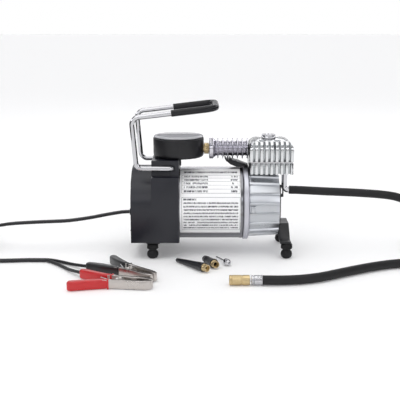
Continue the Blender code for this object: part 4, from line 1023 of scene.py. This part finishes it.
def clamp_arm(color, side, pivot, angle, spread, body):
    """One pressed-steel arm with toothed jaw, dipped vinyl sleeve and pivot ears, lying on its side."""
    sign = -1 if side == "near" else 1
    turn = clamp_matrix(pivot, angle)
    bm = bmesh.new()
    jaw = [(-13, 4.8), (4, 3.9), (12, 3.3), (20, 3.0), (24.6, 1.4), (25.6, 0.25), (28, 0.25), (28.5, 2.2)]
    jaw += [(27.8, 4.2), (24, 6.0), (14, 6.9), (4, 7.1), (-5, 7.9), (-14, 9.8)]
    slab([(u, sign * w) for u, w in jaw], 0.5, 8.2, "Z", bm, turn, edge=0.5, slot=0)
    # The lips are dark strips in slot_shade: painted shade in the open channel of the pressed arm.
    for top, bottom in ((8.25, 7.4), (0.45, 1.3)):
        lip = [(22, 5.6), (13, 6.2), (3, 6.4), (-6, 7.4), (-6, 6.1), (4, 5.0), (13, 4.6), (22, 4.4)]
        slab([(u, sign * w) for u, w in lip], min(top, bottom), max(top, bottom), "Z", bm, turn, slot=2)
    for tooth in range(6):
        u = 13.5 + 1.9 * tooth
        tip = 3.25 - 0.12 * tooth
        outline = [(u, sign * (tip + 0.4)), (u + 0.95, sign * (tip - 1.5)), (u + 1.8, sign * (tip + 0.4))]
        slab(outline, 0.9, 7.8, "Z", bm, turn, slot=0)
    levels = ((2.7, 5.9),) if sign > 0 else ((0.5, 2.2), (6.4, 8.2))
    for low, high in levels:
        ear = arc((0, 0), 3.1, 180, 360, 12) if sign > 0 else arc((0, 0), 3.1, 0, 180, 12)
        ear += [(3.1, sign * 5), (-3.1, sign * 5)] if sign > 0 else [(-3.1, sign * 5), (3.1, sign * 5)]
        slab(ear, low, high, "Z", bm, turn, edge=0.2, slot=0)
    tail = -42
    inner, outer = spread - 3.7, spread + 4
    sleeve = [(-9.5, 4.6), (-8.5, 8.9), (-14, 10.2), (-24, 13.4 - (15.3 - spread) * 0.45)]
    sleeve += [(tail + 4, outer - 0.6), (tail, outer - 1.2), (tail - 0.2, inner + 1.5), (tail + 2.4, inner)]
    sleeve += [(tail + 14, inner - 4.0), (-18, 5.6)]
    slab([(u, sign * w) for u, w in sleeve], 0.15, 8.5, "Z", bm, turn, edge=1.7, slot=1, segments=4)
    collar = [(-9.0, 4.3), (-7.8, 9.1), (-9.4, 9.6), (-10.8, 4.6)]
    slab([(u, sign * w) for u, w in collar], 0.1, 8.6, "Z", bm, turn, edge=0.35, slot=1)
    if sign < 0:
        rivet = [(0, 0.15), (1.8, 0.15), (2.2, 0.6), (1.2, 0.7), (1.2, 8.0), (2.3, 8.1), (2.2, 8.7)]
        rivet += [(1.6, 9.1), (0, 9.3)]
        spun(rivet, (*pivot, 0), "Z", 24, bm)
    name = f"{color}_clamp_{side}"
    slot = "red_vinyl" if color == "red" else "black_vinyl"
    return piece(f"{name}_arm", bm, ["clamp_steel", slot, "slot_shade"], body, (name,), sharp=40)


def clamp_spring(color, pivot, angle, spread, bodies):
    """The coil spring between the handles. The leg on the arm that moves goes with that arm."""
    turn = clamp_matrix(pivot, angle)
    coil = []
    for i in range(73):
        a = math.radians(250 - 15 * i)
        coil.append(Vector((-6.4 + 2.3 * math.cos(a), 2.3 * math.sin(a), 3.0 + 2.9 * i / 72)))
    reach = 5.2 + (spread - 15) * 0.2
    near, far = Vector((-19, -reach, 3.0)), Vector((-19, reach, 5.9))
    if bodies[0] == "base":
        held, leg = [near] + coil, [coil[-1], far]
    else:
        held, leg = coil + [far], [near, coil[0]]
    moving = bodies[bodies[0] == "base"]
    for name, line, body in (("clamp_spring", held, "base"), ("spring_leg", leg, moving)):
        bm = swept([turn @ point for point in line], circle(0.45, 8))
        piece(f"{color}_{name}", bm, ["zinc_steel"], body)


def clamps():
    """Both clamps; each one's lead goes into the arm that stays with the base."""
    made = {}
    for color, bodies in (("red", ("red_jaw", "base")), ("black", ("base", "black_jaw"))):
        pivot, angle, spread = CLAMPS[color]
        arms = [
            clamp_arm(color, side, pivot, angle, spread, body) for side, body in zip(("near", "far"), bodies)
        ]
        clamp_spring(color, pivot, angle, spread, bodies)
        made[color] = arms
    return made


# Chuck and nozzles

def chuck():
    """The screw-on brass chuck and the crimped ferrule that holds it to the hose."""
    low, high = span("chuck_nut")
    axis = (0, -113, 4.6)
    left, right = low.x, high.x
    nut = [
        (3.7, left), (4.1, left), (4.5, left + 0.5), (4.5, left + 1.6), (4.25, left + 1.9), (4.25, left + 2.3),
        (4.5, left + 2.6), (4.5, left + 10.4), (4.2, left + 10.8), (4.2, left + 11.6), (4.5, left + 12),
        (4.5, right - 0.5), (4.1, right), (1.9, right), (1.9, left + 9.1), (3.7, left + 9.1),
    ]
    bm = spun(nut, axis, "X", 64)
    nut_piece = piece("chuck_nut_turned", bm, ["knurled_brass"], "chuck", ("chuck_nut",), sharp=30)
    low, high = span("hose_ferrule")
    left, right = 44.6, high.x
    sleeve = [
        (0, low.x), (1.6, low.x), (1.6, left), (3.7, left),
        (4.1, left + 0.4), (4.2, left + 1.4), (3.8, left + 1.8),
        (3.8, left + 2.4), (4.45, left + 2.8), (4.45, left + 4.4), (4.15, left + 4.8), (4.15, left + 5.6),
        (4.45, left + 6.0), (4.45, left + 7.4), (4.2, left + 7.8), (4.2, left + 8.4), (4.5, left + 8.8),
        (4.5, right - 0.2), (4.3, right), (0, right),
    ]
    bm = spun(sleeve, axis, "X", 48)
    ferrule = piece("crimped_ferrule", bm, ["chrome"], "base", ("hose_ferrule",), sharp=30)
    return [nut_piece, ferrule]


def lying(tip, end):
    """Lays a turned shape, made along +Z, from its tip to its end."""
    tip, end = Vector(tip), Vector(end)
    return Matrix.Translation(tip) @ Vector((0, 0, 1)).rotation_difference(end - tip).to_matrix().to_4x4()


def threads(start, end, root, crest, pitch):
    """A ringed profile that reads as a fine thread."""
    rings, along = [], start
    while along + pitch <= end:
        rings += [(root, along), (crest, along + pitch * 0.35), (crest, along + pitch * 0.6)]
        along += pitch
    return rings + [(root, end)]


def nozzles():
    turn = lying((-22, -44.5, 2.1), (3.7, -76, 4.5))
    cone = [(1.0, 0), (1.7, 0), (1.95, 0.5), (2.5, 9), (3.1, 20), (3.7, 31), (4.2, 38.6), (4.35, 39.4)]
    cone += [(4.35, 40.7), (4.1, 41), (1.0, 41)]
    bm = spun(cone, turn=turn, steps=40)
    end = [(1.0, 41), (3.6, 41)] + threads(41.2, 44.8, 3.2, 3.45, 0.6)
    end += [(3.3, 45.5), (2.3, 45.5), (2.1, 43.8), (1.0, 43.8)]
    spun(end, turn=turn, steps=40, bm=bm, slot=1)
    piece("long_cone_nozzle", bm, ["nozzle_plastic", "brass"], "base", ("long_nozzle",))
    turn = lying((4.8, -44.5, 3.4), (13.1, -64.5, 4.6))
    cone = [(2.0, 0), (3.0, 0), (3.25, 0.4), (3.5, 5), (3.6, 5.3), (3.6, 6), (3.4, 6.2), (4.2, 19.5)]
    cone += [(4.4, 20), (4.4, 21.6), (4.1, 22), (2.0, 22)]
    bm = spun(cone, turn=turn, steps=40)
    end = [(2.0, 22), (3.6, 22)] + threads(22.2, 25.8, 3.2, 3.45, 0.6)
    end += [(3.3, 26.5), (2.6, 26.5), (2.4, 24), (2.0, 24)]
    spun(end, turn=turn, steps=40, bm=bm, slot=1)
    piece("short_cone_nozzle", bm, ["nozzle_plastic", "brass"], "base", ("short_nozzle",))
    turn = lying((15.6, -32.7, 1.9), (26.8, -58.4, 3.6))
    needle = [(0, 0.1), (0.3, 0), (0.75, 0.8), (0.85, 2), (0.85, 19.5), (1.1, 20.4), (1.7, 21.4), (2.9, 21.8)]
    needle += [(3.1, 22.4), (3.1, 26.4), (2.9, 27), (2.3, 27.1)] + threads(27.2, 29.3, 2.05, 2.3, 0.5)
    needle += [(1.8, 29.5), (1.1, 29.5), (0.9, 27.2), (0, 27.2)]
    bm = spun(needle, turn=turn, steps=32)
    piece("turned_ball_needle", bm, ["chrome"], "base", ("ball_needle",))


# Rear details

def gland_and_switch():
    """A ribbed strain relief and screws on the hood's end."""
    face, tip = -66.8, span("cord_gland")[0].x
    ribs = [(0, face + 4), (3.6, face + 4), (3.6, face), (4.6, face), (4.6, face - 1.2), (3.9, face - 1.5)]
    for ring in range(3):
        x = face - 1.9 - ring
        ribs += [(3.9 - 0.2 * ring, x + 0.3), (3.2, x + 0.1), (3.2, x - 0.3), (3.8 - 0.2 * ring, x - 0.5)]
    ribs += [(3.0, tip), (0, tip)]
    bm = spun(ribs, (0, 14, 36), "X", 32)
    piece("strain_relief", bm, ["foot_rubber"], "base", ("cord_gland",), sharp=30)
    bm = bmesh.new()
    for y, z in ((-27, 31), (27, 31), (-20, 72), (20, 72)):
        head = [(0, -66.0), (2.6, -66.0), (2.6, -66.7), (1.9, -67.2), (0.8, -67.3), (0.7, -66.8), (0, -66.7)]
        spun(head, (0, y, z), "X", 24, bm)
    piece("hood_screws", bm, ["zinc_steel"], "base")


studio()
finishes()
dress_cad()
castings()
crankcase_boss()
pipe()
motor_trim()
gauge()
handle()
feet()
screws()
gland_and_switch()
nozzles()
hose_ends = chuck()
clamp_arms = clamps()
air_hose()
power_cord()
clamp_lead("black", LEAD_BLACK, -1, "cord_vinyl")
clamp_lead("red", LEAD_RED, 1, "cord_vinyl")
